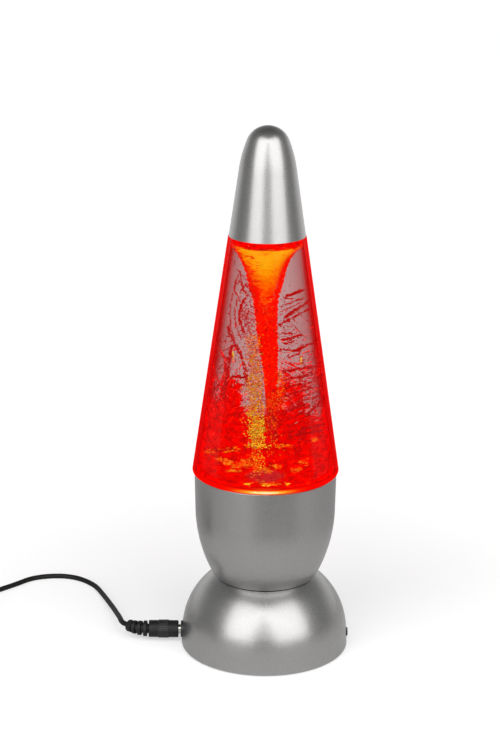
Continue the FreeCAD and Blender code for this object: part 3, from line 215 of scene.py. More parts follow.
class Output:
    """Output of a node. Sums with it, and its methods, add the nodes that work on it."""

    def __init__(self, m, socket):
        self.m, self.socket = m, socket

    def __add__(self, other):
        return math_node(self.m, "ADD", self, other)

    def __sub__(self, other):
        return math_node(self.m, "SUBTRACT", self, other)

    def __rsub__(self, other):
        return math_node(self.m, "SUBTRACT", other, self)

    def __mul__(self, other):
        return math_node(self.m, "MULTIPLY", self, other)

    def __truediv__(self, other):
        return math_node(self.m, "DIVIDE", self, other)

    def __abs__(self):
        return math_node(self.m, "ABSOLUTE", self)

    def root(self):
        return math_node(self.m, "SQRT", self)

    def most(self, other):
        return math_node(self.m, "MAXIMUM", self, other)

    def least(self, other):
        return math_node(self.m, "MINIMUM", self, other)

    def span(self, low, high, start=0.0, end=1.0, kind="LINEAR"):
        """Even change from start to end as the value goes from low to high."""
        values = {"Value": self, "From Min": low, "From Max": high, "To Min": start, "To Max": end}
        return add(self.m, "MapRange", values, "Result", interpolation_type=kind)

    def step(self, low, high, start=0.0, end=1.0):
        """The same change with soft ends."""
        return self.span(low, high, start, end, "SMOOTHSTEP")

    def fall(self, low, high):
        """Soft change from 1 to 0."""
        return self.step(low, high, 1.0, 0.0)

    def band(self, rise, fall):
        """1 between a soft rise and a soft fall, 0 outside them."""
        return self.step(*rise) * self.fall(*fall)

    def ramp(self, *stops):
        """Colour over a value. stops are (position, colour)."""
        made = new_node(self.m, "ValToRGB", {"Fac": self})
        elements = made.color_ramp.elements
        while len(elements) < len(stops):
            elements.new(0.5)
        for element, (position, colour) in zip(elements, stops):
            element.position = position
            element.color = (*colour, 1)
        return Output(self.m, made.outputs["Color"])

    def curve(self, stops):
        """Value over a value. stops are (position, value)."""
        made = new_node(self.m, "FloatCurve", {"Value": self})
        curve = made.mapping.curves[0]
        while len(curve.points) < len(stops):
            curve.points.new(0.5, 0.5)
        for point, stop in zip(curve.points, stops):
            point.location = stop
        made.mapping.update()
        return Output(self.m, made.outputs["Value"])

    def bump(self, strength, distance):
        return add(self.m, "Bump", {"Strength": strength, "Distance": distance, "Height": self})

    def parts(self, kind="XYZ"):
        """The three numbers of a vector or a colour."""
        made = new_node(self.m, "Separate" + kind, {0: self})
        return [Output(self.m, socket) for socket in made.outputs]

    def vector(self, operation, other):
        return add(self.m, "VectorMath", {0: self, 1: other}, operation=operation)

    def length(self):
        return add(self.m, "VectorMath", {0: self}, "Value", operation="LENGTH")

    def scaled(self, *scale):
        return add(self.m, "Mapping", {"Vector": self, "Scale": scale})

    def noise(self, scale, detail=2.0, roughness=0.5):
        values = {"Vector": self, "Scale": scale, "Detail": detail, "Roughness": roughness}
        return add(self.m, "TexNoise", values)


def blend(share, first, second):
    """Colour that goes from the first to the second as share goes from 0 to 1."""
    return add(share.m, "Mix", {"Factor": share, "A": first, "B": second}, "Result", data_type="RGBA")


def mix(share, first, second):
    """The same for two shaders."""
    return add(share.m, "MixShader", {"Fac": share, 1: first, 2: second})


def distance(u, v):
    return (u * u + v * v).root()


def grey(value):
    return (value, value, value)


def with_nodes(m):
    m.use_nodes = True
    m.node_tree.nodes.clear()
    return m


def new_material(name):
    return with_nodes(bpy.data.materials.new(name))


def place(m):
    """The object's own coordinates, in metres."""
    return add(m, "TexCoord", output="Object")


def finish(m, shader, **volume):
    new_node(m, "OutputMaterial", {"Surface": shader, **volume})
    return m


def principled(m, values):
    return finish(m, add(m, "BsdfPrincipled", values))


# Materials


# Strength of the light of flakes and of the liquid
GLOW = 1.4


def clear(m, colour=grey(1.0)):
    """See-through shader."""
    return add(m, "BsdfTransparent", {"Color": colour})


def textured(
    name, dark, light, roughness, scale, metallic=0.0, stretch=(1, 1, 1), bump=0.0001,
    bump_scale=None, specular=0.5, pattern=None,
):
    """Solid finish: mottled colour between dark and light, mottled gloss, and a fine bump.
    pattern: a function that changes the colour by place."""
    m = new_material(name)
    where = place(m).scaled(*stretch)
    colour = where.noise(scale, 4.0, 0.6).ramp((0.3, dark), (0.7, light))
    if pattern:
        colour = pattern(where, colour)
    fine = where.noise(bump_scale or scale * 4, 3.0, 0.6)
    return principled(m, {
        "Base Color": colour,
        "Metallic": metallic,
        "Roughness": fine.span(0.25, 0.75, *roughness),
        "Normal": fine.bump(0.6, bump),
        "Specular IOR Level": specular,
    })


def brushed(name, colour, turned_axis=None, roughness=(0.2, 0.4)):
    """Drawn or turned metal with fine lines along one direction."""
    stretch = {None: (1, 1, 0.04), "z": (0.04, 0.04, 1), "x": (1, 0.04, 0.04)}[turned_axis]
    dark = tuple(0.72 * c for c in colour)
    light = tuple(min(1.0, 1.1 * c) for c in colour)
    return textured(name, dark, light, roughness, 1800, 1.0, stretch, 0.00002, 5200)


def silver_paint(name, seam=None):
    """Satin silver paint: fine metal flakes that differ in tone and gloss. seam: the height of the
    gap at the lower edge, where a dark line of painted shade stands for the gap's shadow."""
    m = new_material(name)
    where = place(m)
    flakes = add(m, "TexVoronoi", {"Vector": where, "Scale": 4200}, "Color")
    tone, gloss, _ = flakes.parts("Color")
    share = tone * 0.88 + where.noise(60, 3.0) * 0.12
    colour = share.ramp((0.0, (0.319, 0.314, 0.310)), (1.0, (0.357, 0.352, 0.349)))
    if seam is not None:
        _, _, z = where.parts()
        # Painted shade: the cup goes dark below a line just over the seam, for the shadow in the gap
        above_seam_shade = z.step((seam + 0.8) * MM, (seam + 1.2) * MM)
        colour = blend(above_seam_shade, grey(0.02), colour)
    return principled(m, {
        "Base Color": colour,
        "Metallic": 0.92,
        "Roughness": gloss.span(0.0, 1.0, 0.27, 0.37),
        "Normal": where.noise(2600, 2.0, 0.6).bump(0.14, 0.00002),
        "Coat Weight": 0.12,
        "Coat Roughness": 0.3,
    })


def belt_knob_highlights(where, colour):
    """Painted highlight: rows of lighter dots on the raised belt of the plug's grip, where its small
    knobs catch the light.
    """
    _, y, z = where.parts()
    belt = distance(y, z - PLUG_HEIGHT * MM).step(*(MM * v for v in BELT_RISE))
    cells = add(where.m, "TexVoronoi", {"Vector": where, "Scale": 1000, "Randomness": 0.25})
    return blend(belt * cells.fall(0.25, 0.5), colour, (0.042, 0.042, 0.043))


def copper_wound():
    """Wound wire: bands round the axis."""
    m = new_material("copper_wound")
    wave = {"Scale": 900, "Distortion": 2.5, "Detail": 2.0, "Detail Scale": 1.5}
    bands = add(m, "TexWave", {"Vector": place(m), **wave}, "Fac", bands_direction="Z")
    return principled(m, {
        "Base Color": bands.ramp((0.1, (0.22, 0.06, 0.02)), (0.6, (0.72, 0.30, 0.13))),
        "Metallic": 1.0,
        "Roughness": 0.32,
        "Normal": bands.bump(0.8, 0.0002),
    })


def board_green():
    """Solder mask with traces: a grid of lines under the mask, lighter where copper lies."""
    m = new_material("board_mask")
    where = place(m)
    traces = {
        "Vector": where,
        "Scale": 160,
        "Mortar Size": 0.06,
        "Color1": (0.006, 0.07, 0.03),
        "Color2": (0.008, 0.09, 0.04),
        "Mortar": (0.03, 0.20, 0.09),
    }
    return principled(m, {
        "Base Color": add(m, "TexBrick", traces),
        "Roughness": 0.34,
        "Normal": where.noise(2500).bump(0.4, 0.00004),
    })


def wire_material():
    """Insulation: black or red by the side that a wire runs on."""
    m = new_material("wire_insulation")
    where = place(m)
    _, y, _ = where.parts()
    return principled(m, {
        "Base Color": blend(y.step(-0.0002, 0.0002), (0.02, 0.02, 0.022), (0.45, 0.02, 0.015)),
        "Roughness": 0.4,
        "Normal": where.noise(900).bump(0.3, 0.00005),
    })


def lit_plastic(name, scale, detail, grain, dark, light, roughness, strength):
    """Mottled plastic that glows in its own colour."""
    m = new_material(name)
    colour = place(m).noise(scale, detail, grain).ramp((0.3, dark), (0.7, light))
    return principled(m, {
        "Base Color": colour,
        "Roughness": roughness,
        "Emission Color": colour,
        "Emission Strength": strength,
    })


def glowing(name, colour):
    """Flake lit from below: mottled glow of its own colour under a thin metal gloss."""
    m = new_material(name)
    mottle = place(m).noise(1400)
    return principled(m, {
        "Base Color": tuple(0.12 * c for c in colour),
        "Metallic": 0.4,
        "Roughness": 0.5,
        "Specular IOR Level": 0.1,
        "Emission Color": mottle.ramp((0.35, tuple(0.75 * c for c in colour)), (0.65, colour)),
        "Emission Strength": GLOW,
    })


def see_through(m, alpha, colour):
    """Glow of a colour where alpha is 1, clear where it is 0."""
    light = add(m, "Emission", {"Color": colour, "Strength": GLOW})
    return finish(m, mix(alpha, clear(m), light))


def faint_light(name, deep, bright, least, most):
    """Light in the liquid, uneven and half clear, from a deep to a bright colour."""
    m = new_material(name)
    mottle = place(m).noise(500, 3.0, 0.6)
    colour = mottle.ramp((0.35, deep), (0.65, bright))
    return see_through(m, mottle.step(0.35, 0.65, least, most), colour)


def lamp_glow(where, radius, height, reach, squash=1.0, angles=LAMP_ANGLES):
    """Share of light near the lamps at some angles: 1 at a lamp's place, falling to 0 at reach.
    Places and reach are in millimetres."""
    nearest = None
    for angle in angles:
        a = math.radians(angle)
        spot = (radius * MM * math.cos(a), radius * MM * math.sin(a), height * MM)
        away = where.vector("SUBTRACT", spot).vector("MULTIPLY", (1, 1, squash)).length()
        nearest = away if nearest is None else nearest.least(away)
    return nearest.fall(0.0, reach * MM)


# The vessel's lower rim: height of the light in it and its reach, in millimetres, then heights in
# metres of its bright line, of the dark line over it and of the end of the light
RIM_GLOW = (106.7, 26)
RIM_LIGHT = ((0.1054, 0.1061), (0.1068, 0.1081))
RIM_SHADE = ((0.1082, 0.1084), (0.1085, 0.1088))
RIM_END = (0.1082, 0.1092)


def clear_wall(m, where):
    """See-through wall with a weak gloss, deeper in colour where it is seen edge on."""
    edge = add(m, "LayerWeight", {"Blend": 0.5}, "Facing").step(0.46, 0.78)
    tint = blend(edge, (0.91, 0.93, 0.93), (0.93, 0.06, 0.055))
    ripple = where.noise(55)
    values = {
        "Color": grey(1.0),
        "Roughness": ripple.span(0.3, 0.7, 0.03, 0.09),
        "Normal": ripple.bump(0.25, 0.0002),
    }
    weak = add(m, "Fresnel", {"IOR": 1.38}) * 0.03
    return mix(weak, clear(m, tint), add(m, "BsdfGlossy", values))


def rim_light(m, where, z):
    """The lower rim is lit from inside: red all round, bright where a lamp shines out."""
    near = lamp_glow(where, RIM_RADIUS, *RIM_GLOW, angles=OUTSHINING)
    uneven = where.scaled(1, 1, 2.5).noise(500, 3.0, 0.6).step(0.3, 0.7, 0.82, 1.0)
    bright = near * z.band(*RIM_LIGHT) * uneven
    hue = bright.ramp(
        (0.0, (0.95, 0.002, 0.0)),
        (0.15, (1.0, 0.02, 0.0)),
        (0.4, (1.0, 0.18, 0.01)),
        (0.65, (1.0, 0.50, 0.03)),
        (0.82, (1.0, 0.86, 0.30)),
        (0.96, (1.0, 0.96, 0.60)),
    )
    shaded = blend(z.band(*RIM_SHADE), hue, (0.45, 0.003, 0.002))
    return add(m, "Emission", {"Color": shaded, "Strength": 1.0})


def vessel_material():
    """Clear wall tinted red: gloss over see-through, and colour that builds up with thickness."""
    m = new_material("vessel_clear_red")
    where = place(m)
    _, _, z = where.parts()
    both = mix(z.step(*RIM_END, 0.9, 0.0), clear_wall(m, where), rim_light(m, where, z))
    depth = add(m, "VolumeAbsorption", {"Color": (0.95, 0, 0), "Density": 150})
    return finish(m, both, Volume=depth)


def film_material():
    """Reddened layer of liquid along the wall, deeper in colour where it is seen edge on."""
    m = new_material("liquid_film")
    cloud = place(m).noise(60, 4.0, 0.6)
    tint = cloud.ramp((0.3, (0.98, 0.97, 0.97)), (0.7, grey(1.0)))
    depth = add(m, "VolumeAbsorption", {"Color": (0.67, 0, 0), "Density": 26})
    return finish(m, clear(m, tint), Volume=depth)


def liquid_material():
    """Clear liquid: a faint cloudy tint where it meets the wall, none round the air core."""
    m = new_material("liquid_clear")
    where = place(m)
    x, y, z = where.parts()
    tint = where.noise(45, 4.0, 0.6).ramp((0.3, (0.86, 0.95, 0.95)), (0.7, (0.95, 1.0, 1.0)))
    wall = inner_radius(0) * MM - z * TAPER
    outside = (distance(x, y) / wall).step(0.93, 0.95)
    return finish(m, clear(m, blend(outside, grey(1.0), tint)))


def floor_disc_material():
    """Clear disc with the lamps' light in it: bright spots over the lamps, red between them."""
    m = new_material("vessel_floor_lit")
    where = place(m)
    rough = where.noise(700, 4.0, 0.7).step(0.35, 0.65, 0.35, 1.0)
    amount = lamp_glow(where, LAMP_RING, FLOOR_TOP, 9.0) * rough
    colour = amount.ramp(
        (0.0, (0.90, 0.004, 0.0)),
        (0.35, (1.0, 0.10, 0.0)),
        (0.7, (1.0, 0.45, 0.05)),
        (1.0, (1.0, 0.80, 0.30)),
    )
    return see_through(m, amount.step(0.0, 0.5, 0.72, 0.96), colour)


GRIP_LOOK = {
    "dark": (0.004, 0.004, 0.0045),
    "light": (0.010, 0.010, 0.011),
    "roughness": (0.45, 0.62),
    "scale": 900,
    "bump": 0.00012,
    "bump_scale": 1500,
    "specular": 0.3,
}
WHITE = textured("white_plastic", (0.62, 0.61, 0.58), (0.74, 0.73, 0.7), (0.4, 0.55), 500)
BLACK = textured("black_plastic", (0.012, 0.012, 0.013), (0.028, 0.028, 0.03), (0.38, 0.55), 1200)
SOCKET_BLACK = textured(
    "socket_black", (0.011, 0.011, 0.012), (0.02, 0.02, 0.021), (0.3, 0.45), 1500
)
RUBBER = textured("foot_rubber", (0.015, 0.015, 0.016), (0.035, 0.035, 0.036), (0.75, 0.9), 1600)
SEAL = textured("seal_rubber", (0.25, 0.24, 0.22), (0.36, 0.35, 0.33), (0.6, 0.8), 800)
SCREW_STEEL = textured(
    "screw_steel", (0.42, 0.42, 0.43), (0.66, 0.66, 0.67), (0.25, 0.42), 1800, 1.0
)
MAGNET = textured("magnet_nickel", (0.16, 0.16, 0.17), (0.3, 0.3, 0.31), (0.3, 0.5), 900, 0.8)
BUSH = textured("bush_bronze", (0.35, 0.22, 0.10), (0.5, 0.34, 0.17), (0.4, 0.6), 1500, 1.0)
CORD_BLACK = textured(
    "black_cord", grey(0.003), (0.009, 0.009, 0.0088), (0.5, 0.62), 700, bump=0.00003,
    specular=0.25,
)
LENS = lit_plastic("lamp_lens_glow", 700, 2.0, 0.5, (1.0, 0.78, 0.35), (1.0, 0.93, 0.70), 0.2, 1.6)
# The impeller is no lamp: its glow is painted light, standing for the lamps' light on it from below
IMPELLER = lit_plastic(
    "impeller_lit", 350, 4.0, 0.6, (0.27, 0.016, 0.02), (0.46, 0.05, 0.06), 0.45, 0.85
)
FINISHES = [
    (silver_paint("silver_paint"), "top_cap dome"),
    (silver_paint("silver_paint_cup", CUP_SEAM), "cup"),
    (vessel_material(), "vessel"),
    (liquid_material(), "liquid"),
    (floor_disc_material(), "vessel_floor"),
    (IMPELLER, "impeller"),
    (LENS, "lamp_lenses"),
    (WHITE, "lamp_housings motor_bracket filler_stopper usb_tongue"),
    (textured("plug_grip_black", **GRIP_LOOK, pattern=belt_knob_highlights), "plug_grip"),
    (textured("black_grip", **GRIP_LOOK), "usb_grip"),
    (SOCKET_BLACK, "socket_body"),
    (RUBBER, "rubber_feet"),
    (SEAL, "vessel_gasket stopper_seal"),
    (BLACK, "bottom_plate motor_end_cap drive_hub board_resistors switch_body switch_knob cord_tie"),
    (SCREW_STEEL, "bottom_screws cup_screws bracket_screws motor_screws board_screws"),
    (MAGNET, "impeller_magnets motor_magnets drive_magnets"),
    (BUSH, "motor_bushes"),
    (brushed("steel_drawn", (0.60, 0.60, 0.61)), "impeller_pin motor_shaft switch_frame usb_shell"),
    (brushed("steel_can", (0.52, 0.53, 0.55), "z"), "motor_can motor_rotor"),
    (brushed("plated_barrel", (0.56, 0.55, 0.52), "x", (0.12, 0.25)), "plug_barrel socket_pin"),
    (
        brushed("contact_brass", (0.80, 0.60, 0.28)),
        "motor_terminals socket_contact switch_terminals usb_contacts",
    ),
    (copper_wound(), "motor_windings"),
    (board_green(), "light_board"),
    (wire_material(), "supply_wires motor_wires"),
]


def dress(piece, material):
    piece.data.materials.clear()
    piece.data.materials.append(material)


dress(cord, CORD_BLACK)
bare = set(nodes) - {"cord_run", "cord_coil", "cord_tail"}
for material, names in FINISHES:
    for name in names.split():
        dress(nodes[name], material)
        bare.remove(name)
if bare:
    raise SystemExit("no material for " + ", ".join(sorted(bare)))


# Pieces inside the liquid: the air core, drifting haze and glitter


def mesh_piece(name, points, faces, materials, picks=None, smooth=True):
    data = bpy.data.meshes.new(name)
    data.from_pydata([tuple(v * MM for v in p) for p in points], [], faces)
    for material in materials:
        data.materials.append(material)
    if picks:
        for face, pick in zip(data.polygons, picks):
            face.material_index = pick
    for face in data.polygons:
        face.use_smooth = smooth
    piece = into_scene(name, data)
    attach(piece, "base")


def circle(around):
    """Cosines and sines of evenly spread angles."""
    angles = [2 * math.pi * k / around for k in range(around)]
    return [(math.cos(a), math.sin(a)) for a in angles]


def ring_faces(rings, around, closed=False):
    """Faces of a tube whose points run round, ring by ring. closed: the last ring joins the first."""
    faces = []
    for i in range(rings if closed else rings - 1):
        low, high = i * around, (i + 1) % rings * around
        for k in range(around):
            n = (k + 1) % around
            faces.append((low + k, low + n, high + n, high + k))
    return faces


# Over height, in millimetres: the air core's radius, the radius of the light in it, and how far
# its middle has drifted towards +X
CORE = [
    (236, 20.4), (235, 19.7), (233.5, 18.3), (230.7, 15.9), (228, 14.2), (225.1, 12.6),
    (221, 11.2), (217.8, 10.3), (209.4, 8.4), (203.8, 6.8), (195, 6.0), (186.9, 5.6),
    (175.5, 5.2), (167, 4.2), (156, 3.4), (146.5, 3.0), (130, 2.9), (112, 3.0),
]
HEART = [
    (235.8, 20.1), (234.8, 19), (233.5, 17.3), (230.7, 14.7), (228, 12.8), (225.1, 11.1),
    (221, 9.3), (217.8, 8.1), (213, 6.8), (209.4, 5.8), (204, 3.6), (200, 2.0),
    (196, 0.3),
]
DRIFT = [
    (236, 0.0), (233.5, -0.4), (230, -0.9), (205, -0.8), (190, 0.0), (178, 0.8),
    (170, 1.6), (162, 2.3), (148, 2.9), (130, 4.2), (112, 3.4), (103, 0.6),
]
# Points round the core and the veils, and the distance of the core's rows
AROUND, ROW = 72, 0.4
# Where the core starts to lean and its teeth start to grow, each with the height that it takes
LEAN_START, TEETH_START = (234, 12), (238, 14)


def along(table, z):
    """Value of a table of heights and values at a height."""
    if z >= table[0][0]:
        return table[0][1]
    for (high, top), (low, bottom) in zip(table, table[1:]):
        if z >= low:
            share = (high - z) / (high - low)
            return top + (bottom - top) * share
    return table[-1][1]


def share_below(z, start, length):
    """0 above a height, growing to 1 over a length below it."""
    return min(1.0, max(0.0, (start - z) / length))


def core_surface(name, material, table, low, high, ragged, lean=0.0):
    """Tube of a table's radii with a toothed, finely stepped side. lean: more drift to -X."""
    rows = int((high - low) / ROW)
    points = []
    for i in range(rows + 1):
        z = high - (high - low) * i / rows
        shift = along(DRIFT, z) - lean * share_below(z, *LEAN_START)
        wide = max(0.25, share_below(z, *TEETH_START))
        for c, s in circle(AROUND):
            phase = z / 2.8 + noise.noise(Vector((1.1 * c, 1.1 * s, 0.25 * z)))
            tooth = phase % 1.0 - 0.5
            rough = noise.noise(Vector((2.2 * c, 2.2 * s, 1.6 * z)))
            radius = along(table, z) + ragged * wide * (1.1 * tooth + 0.8 * rough)
            radius = max(0.15, min(radius, inner_radius(z) - 0.3))
            points.append((shift + radius * c, radius * s, z))
    mesh_piece(name, points, ring_faces(rows + 1, AROUND), [material])


def level_lines(where, scale):
    """Noise drawn out round the axis, as fine level lines."""
    return where.scaled(0.3, 0.3, 1.7).noise(scale, 3.0, 0.7)


def skin_glow_colour(where, z):
    """Colour of the core skin's painted glow: red with orange specks, duller below the middle of
    the vessel.
    """
    specks = where.noise(1500, 2.0, 0.6)
    red = specks.ramp(
        (0.30, (0.80, 0.001, 0.0)),
        (0.52, (1.0, 0.001, 0.0)),
        (0.62, (1.0, 0.006, 0.0)),
        (0.70, (1.0, 0.18, 0.005)),
    )
    dark = specks.ramp(
        (0.35, (0.55, 0.005, 0.002)),
        (0.55, (0.85, 0.008, 0.001)),
        (0.66, (1.0, 0.14, 0.01)),
    )
    return blend(z.step(0.146, 0.154), dark, red)


def core_skin_material():
    """Red skin of the air core: solid low down and at its right side, torn to lines near the top.
    Its red glow is painted light, standing for the lamps' light in the liquid round the core.
    """
    m = new_material("core_skin")
    where = place(m)
    x, y, z = where.parts()
    east = x / (distance(x, y) + 0.0001)
    west = east * -1.0
    rise = z.span(0.176, 0.218) * 0.42
    beside = abs(east).step(0.05, 0.75) * z.step(0.205, 0.222, 0.16, 0.03)
    need = rise + 0.25 - (west.step(0.1, 0.9, 0.0, 0.13) + beside)
    torn = (level_lines(where, 620) - need).step(-0.015, 0.02)
    right_side = east.step(0.45, 0.85) * z.step(0.226, 0.2345, 1.0, 0.5)
    sides = right_side.most(west.step(0.80, 0.94))
    alpha = torn.most(sides) * z.step(0.112, 0.140, 0.25, 0.99)
    return see_through(m, alpha, skin_glow_colour(where, z))


def core_heart_material():
    """Light in the funnel: orange-yellow at the top, redder lower down."""
    m = new_material("core_heart")
    where = place(m)
    x, _, z = where.parts()
    bend = (level_lines(where, 500) - 0.5) * 0.020
    bend += (where.noise(1000, 2.0, 0.7) - 0.5) * 0.026
    # The light reaches lowest in the middle
    point = 0.001 - abs(x + 0.001) * 0.8
    level = (z + bend + point).span(0.196, 0.236)
    colour = level.ramp(
        (0.10, (1.0, 0.008, 0.0)),
        (0.22, (1.0, 0.035, 0.0)),
        (0.34, (1.0, 0.085, 0.0)),
        (0.475, (1.0, 0.18, 0.0)),
        (0.68, (1.0, 0.44, 0.002)),
        (0.86, (1.0, 0.55, 0.008)),
        (1.0, (1.0, 0.28, 0.004)),
    )
    return see_through(m, z.step(0.198, 0.203, 0.3, 1.0), colour)


core_surface("core_skin", core_skin_material(), CORE, 106, 236, 0.95)
core_surface("core_heart", core_heart_material(), HEART, 196, 235.8, 0.8, lean=0.6)

# The film along the wall, in millimetres: where it starts, its height, and the gaps between the
# wall and its two sides
FILM_LOW, FILM_HEIGHT, FILM_GAPS = 101, 134.5, (0.25, 3.4)


def make_film():
    around, rows = 96, 24
    heights = [FILM_LOW + FILM_HEIGHT * i / rows for i in range(rows + 1)]
    outside, inside = FILM_GAPS
    rings = [(inner_radius(z) - outside, z) for z in heights]
    rings += [(inner_radius(z) - inside, z) for z in reversed(heights)]
    points = [(radius * c, radius * s, z) for radius, z in rings for c, s in circle(around)]
    faces = ring_faces(len(rings), around, closed=True)
    mesh_piece("liquid_film", points, faces, [film_material()])


make_film()


def haze_surface(name, material, share, low, high, wave):
    """Ring-shaped veil of drifting glitter, at a share of the vessel's inner radius."""
    rows = int((high - low) / 3)
    points = []
    for i in range(rows + 1):
        z = low + (high - low) * i / rows
        for c, s in circle(AROUND):
            bend = wave * noise.noise(Vector((1.3 * c, 1.3 * s, 0.03 * z + 11 * share)))
            radius = min(inner_radius(z) * share + bend, inner_radius(z) - 0.3)
            points.append((radius * c, radius * s, z))
    mesh_piece(name, points, ring_faces(rows + 1, AROUND), [material])


# What the noise has to pass for a veil to be closed, by the share of the liquid's height
VEIL_LIMIT = (
    (0.0, 0.30), (0.22, 0.32), (0.30, 0.40), (0.40, 0.445), (0.50, 0.48), (0.60, 0.54),
    (0.68, 0.64), (0.80, 0.76), (1.0, 0.80),
)
# Where a veil is thinner (+) or thicker (-) in front: place and half sizes in the photo's frame,
# amount
PATCHES = [
    (299, 350, 17, 10, 0.09), (310, 367, 10, 10, 0.09), (304, 398, 22, 26, 0.03),
    (317, 408, 9, 13, 0.07), (304, 423, 8, 4, 0.09), (290, 344, 8, 8, 0.07),
    (311, 398, 11, 4, 0.07), (226, 346, 6, 9, 0.09), (219, 364, 5, 14, 0.08),
    (232, 366, 5, 10, 0.10), (246, 344, 8, 14, 0.12), (217, 392, 5, 12, 0.05),
    (236, 398, 15, 17, -0.12), (214, 426, 14, 24, -0.12), (290, 430, 22, 10, -0.10),
    (226, 384, 5, 22, -0.07), (294, 384, 10, 6, -0.03),
]
# The veils open at the lamps that shine out: radius at the wall, height and reach in millimetres
GAP_RADIUS, GAP_HEIGHT, GAP_REACH = 39, 112.5, 19
# A pixel of the photo at the vessel, in metres across and up
PIXEL_ACROSS, PIXEL_UP = 0.00055, 0.00058


def patches_of(x, z, share):
    """Sum of the patches at a place of the veil."""
    total = None
    for px, py, wide, high, amount in PATCHES:
        spot = wall_point(px, py, share)
        if spot is None:
            continue
        across = (x - spot.x * MM) / (wide * PIXEL_ACROSS)
        upward = (z - spot.z * MM) / (high * PIXEL_UP)
        part = (across * across + upward * upward).step(0.3, 1.3, amount, 0.0)
        total = part if total is None else total + part
    return total


def veil_pattern(where, z, seed, turn):
    """Streaks that climb round the axis, over patches and fine grain."""
    angle = z * turn
    wound = add(where.m, "VectorRotate", {"Vector": where, "Angle": angle}, rotation_type="Z_AXIS")
    shifted = wound.scaled(1, 1, 0.14).vector("ADD", (seed, 0.3 * seed, 0.7 * seed))
    streaks = shifted.noise(620, 4.0, 0.7)
    patches = where.scaled(1, 1, 1.4).noise(75 + seed, 4.0, 0.6)
    fine = where.scaled(1, 1, 2.2).noise(900, 3.0, 0.7)
    return streaks * 0.46 + (patches * 0.34 + fine * 0.20)


def core_window(where, x, z, front):
    """The veil is open in front of the core and of the glitter beside it."""
    loose_edge = where.scaled(1, 1, 1.5).noise(260, 4.0, 0.75)
    ragged = x + (loose_edge - 0.5) * 0.020
    lean = (z - 0.128) * 0.117
    between = (ragged + lean).step(-0.0122, -0.0092) * ragged.fall(0.0042, 0.0062)
    return between * (z.step(0.130, 0.140) * front)


def haze_material(name, seed, cover, turn, share):
    """Veil of glitter: closed low down, torn into streaks and patches above, open at the core. Its
    red glow is painted light, standing for the lamps' light scattered in the liquid and glitter.
    """
    m = new_material(name)
    where = place(m)
    x, y, z = where.parts()
    front = y.fall(-0.006, 0.0)
    need = z.span(0.098, 0.236).curve(VEIL_LIMIT)
    extra = patches_of(x, z, share) * front
    behind = y.step(0.0, 0.006) * z.step(0.112, 0.134, 0.0, 0.22)
    limit = (need + extra) + (core_window(where, x, z, front) * 0.3 + behind)
    torn = (veil_pattern(where, z, seed, turn) - limit).step(-0.008, 0.022, 0.0, cover)
    low = lamp_glow(where, share * GAP_RADIUS, GAP_HEIGHT, GAP_REACH, 1.9, OUTSHINING)
    gap = low.step(0.15, 0.5, 1.0, 0.14)
    fringe = (level_lines(where, 420) - 0.5) * 0.004
    top = (z + fringe).step(0.2352, 0.2362)
    colour = where.scaled(1, 1, 1.8).noise(240, 4.0, 0.65).ramp(
        (0.34, (0.46, 0.003, 0.002)),
        (0.43, (0.66, 0.002, 0.001)),
        (0.50, (0.82, 0.001, 0.0)),
        (0.62, (0.97, 0.001, 0.0)),
        (0.70, (1.0, 0.02, 0.0)),
        (0.78, (1.0, 0.30, 0.01)),
    )
    return see_through(m, (torn * gap).most(top), colour)


for name, seed, turn, share, low, high, wave in (
    ("haze_outer", 3.1, 60, 0.992, 101, 239.6, 0.0),
    ("haze_middle", 7.7, 80, 0.62, 102, 160, 1.6),
):
    haze_surface(name, haze_material(name, seed, 0.985, turn, share), share, low, high, wave)


# Kinds of flakes, in the order of their materials
RED, BRIGHT, ORANGE, YELLOW, PALE, EMBER, AMBER, DUSK = range(8)
FLAKES = [
    glowing("flake_red", (0.42, 0.004, 0.004)),
    glowing("flake_bright", (1.0, 0.010, 0.001)),
    glowing("flake_orange", (0.86, 0.27, 0.0)),
    glowing("flake_yellow", (0.88, 0.72, 0.03)),
    glowing("flake_pale", (0.46, 0.26, 0.22)),
    faint_light("flake_ember", (1.0, 0.10, 0.0), (0.98, 0.36, 0.015), 0.1, 0.62),
    faint_light("flake_amber", (0.30, 0.15, 0.02), (0.55, 0.42, 0.02), 0.05, 0.55),
    faint_light("flake_dusk", (0.22, 0.006, 0.006), (0.42, 0.012, 0.012), 0.05, 0.5),
]
# Flakes at the wall: share of its radius, lowest and highest place in millimetres
FLAKE_SHARE, FLAKES_LOW, FLAKES_HIGH = 0.996, 101, 236
# A pixel of the photo at the vessel, in millimetres
PIXEL = 0.547
# Below this line of the photo's frame a flake has a copy at the back
COPIED_BELOW = 405
HALF_TURN = Matrix.Rotation(math.pi, 3, "Z")
# Loose flakes are this much longer than wide
LOOSE_LENGTH = 1.6


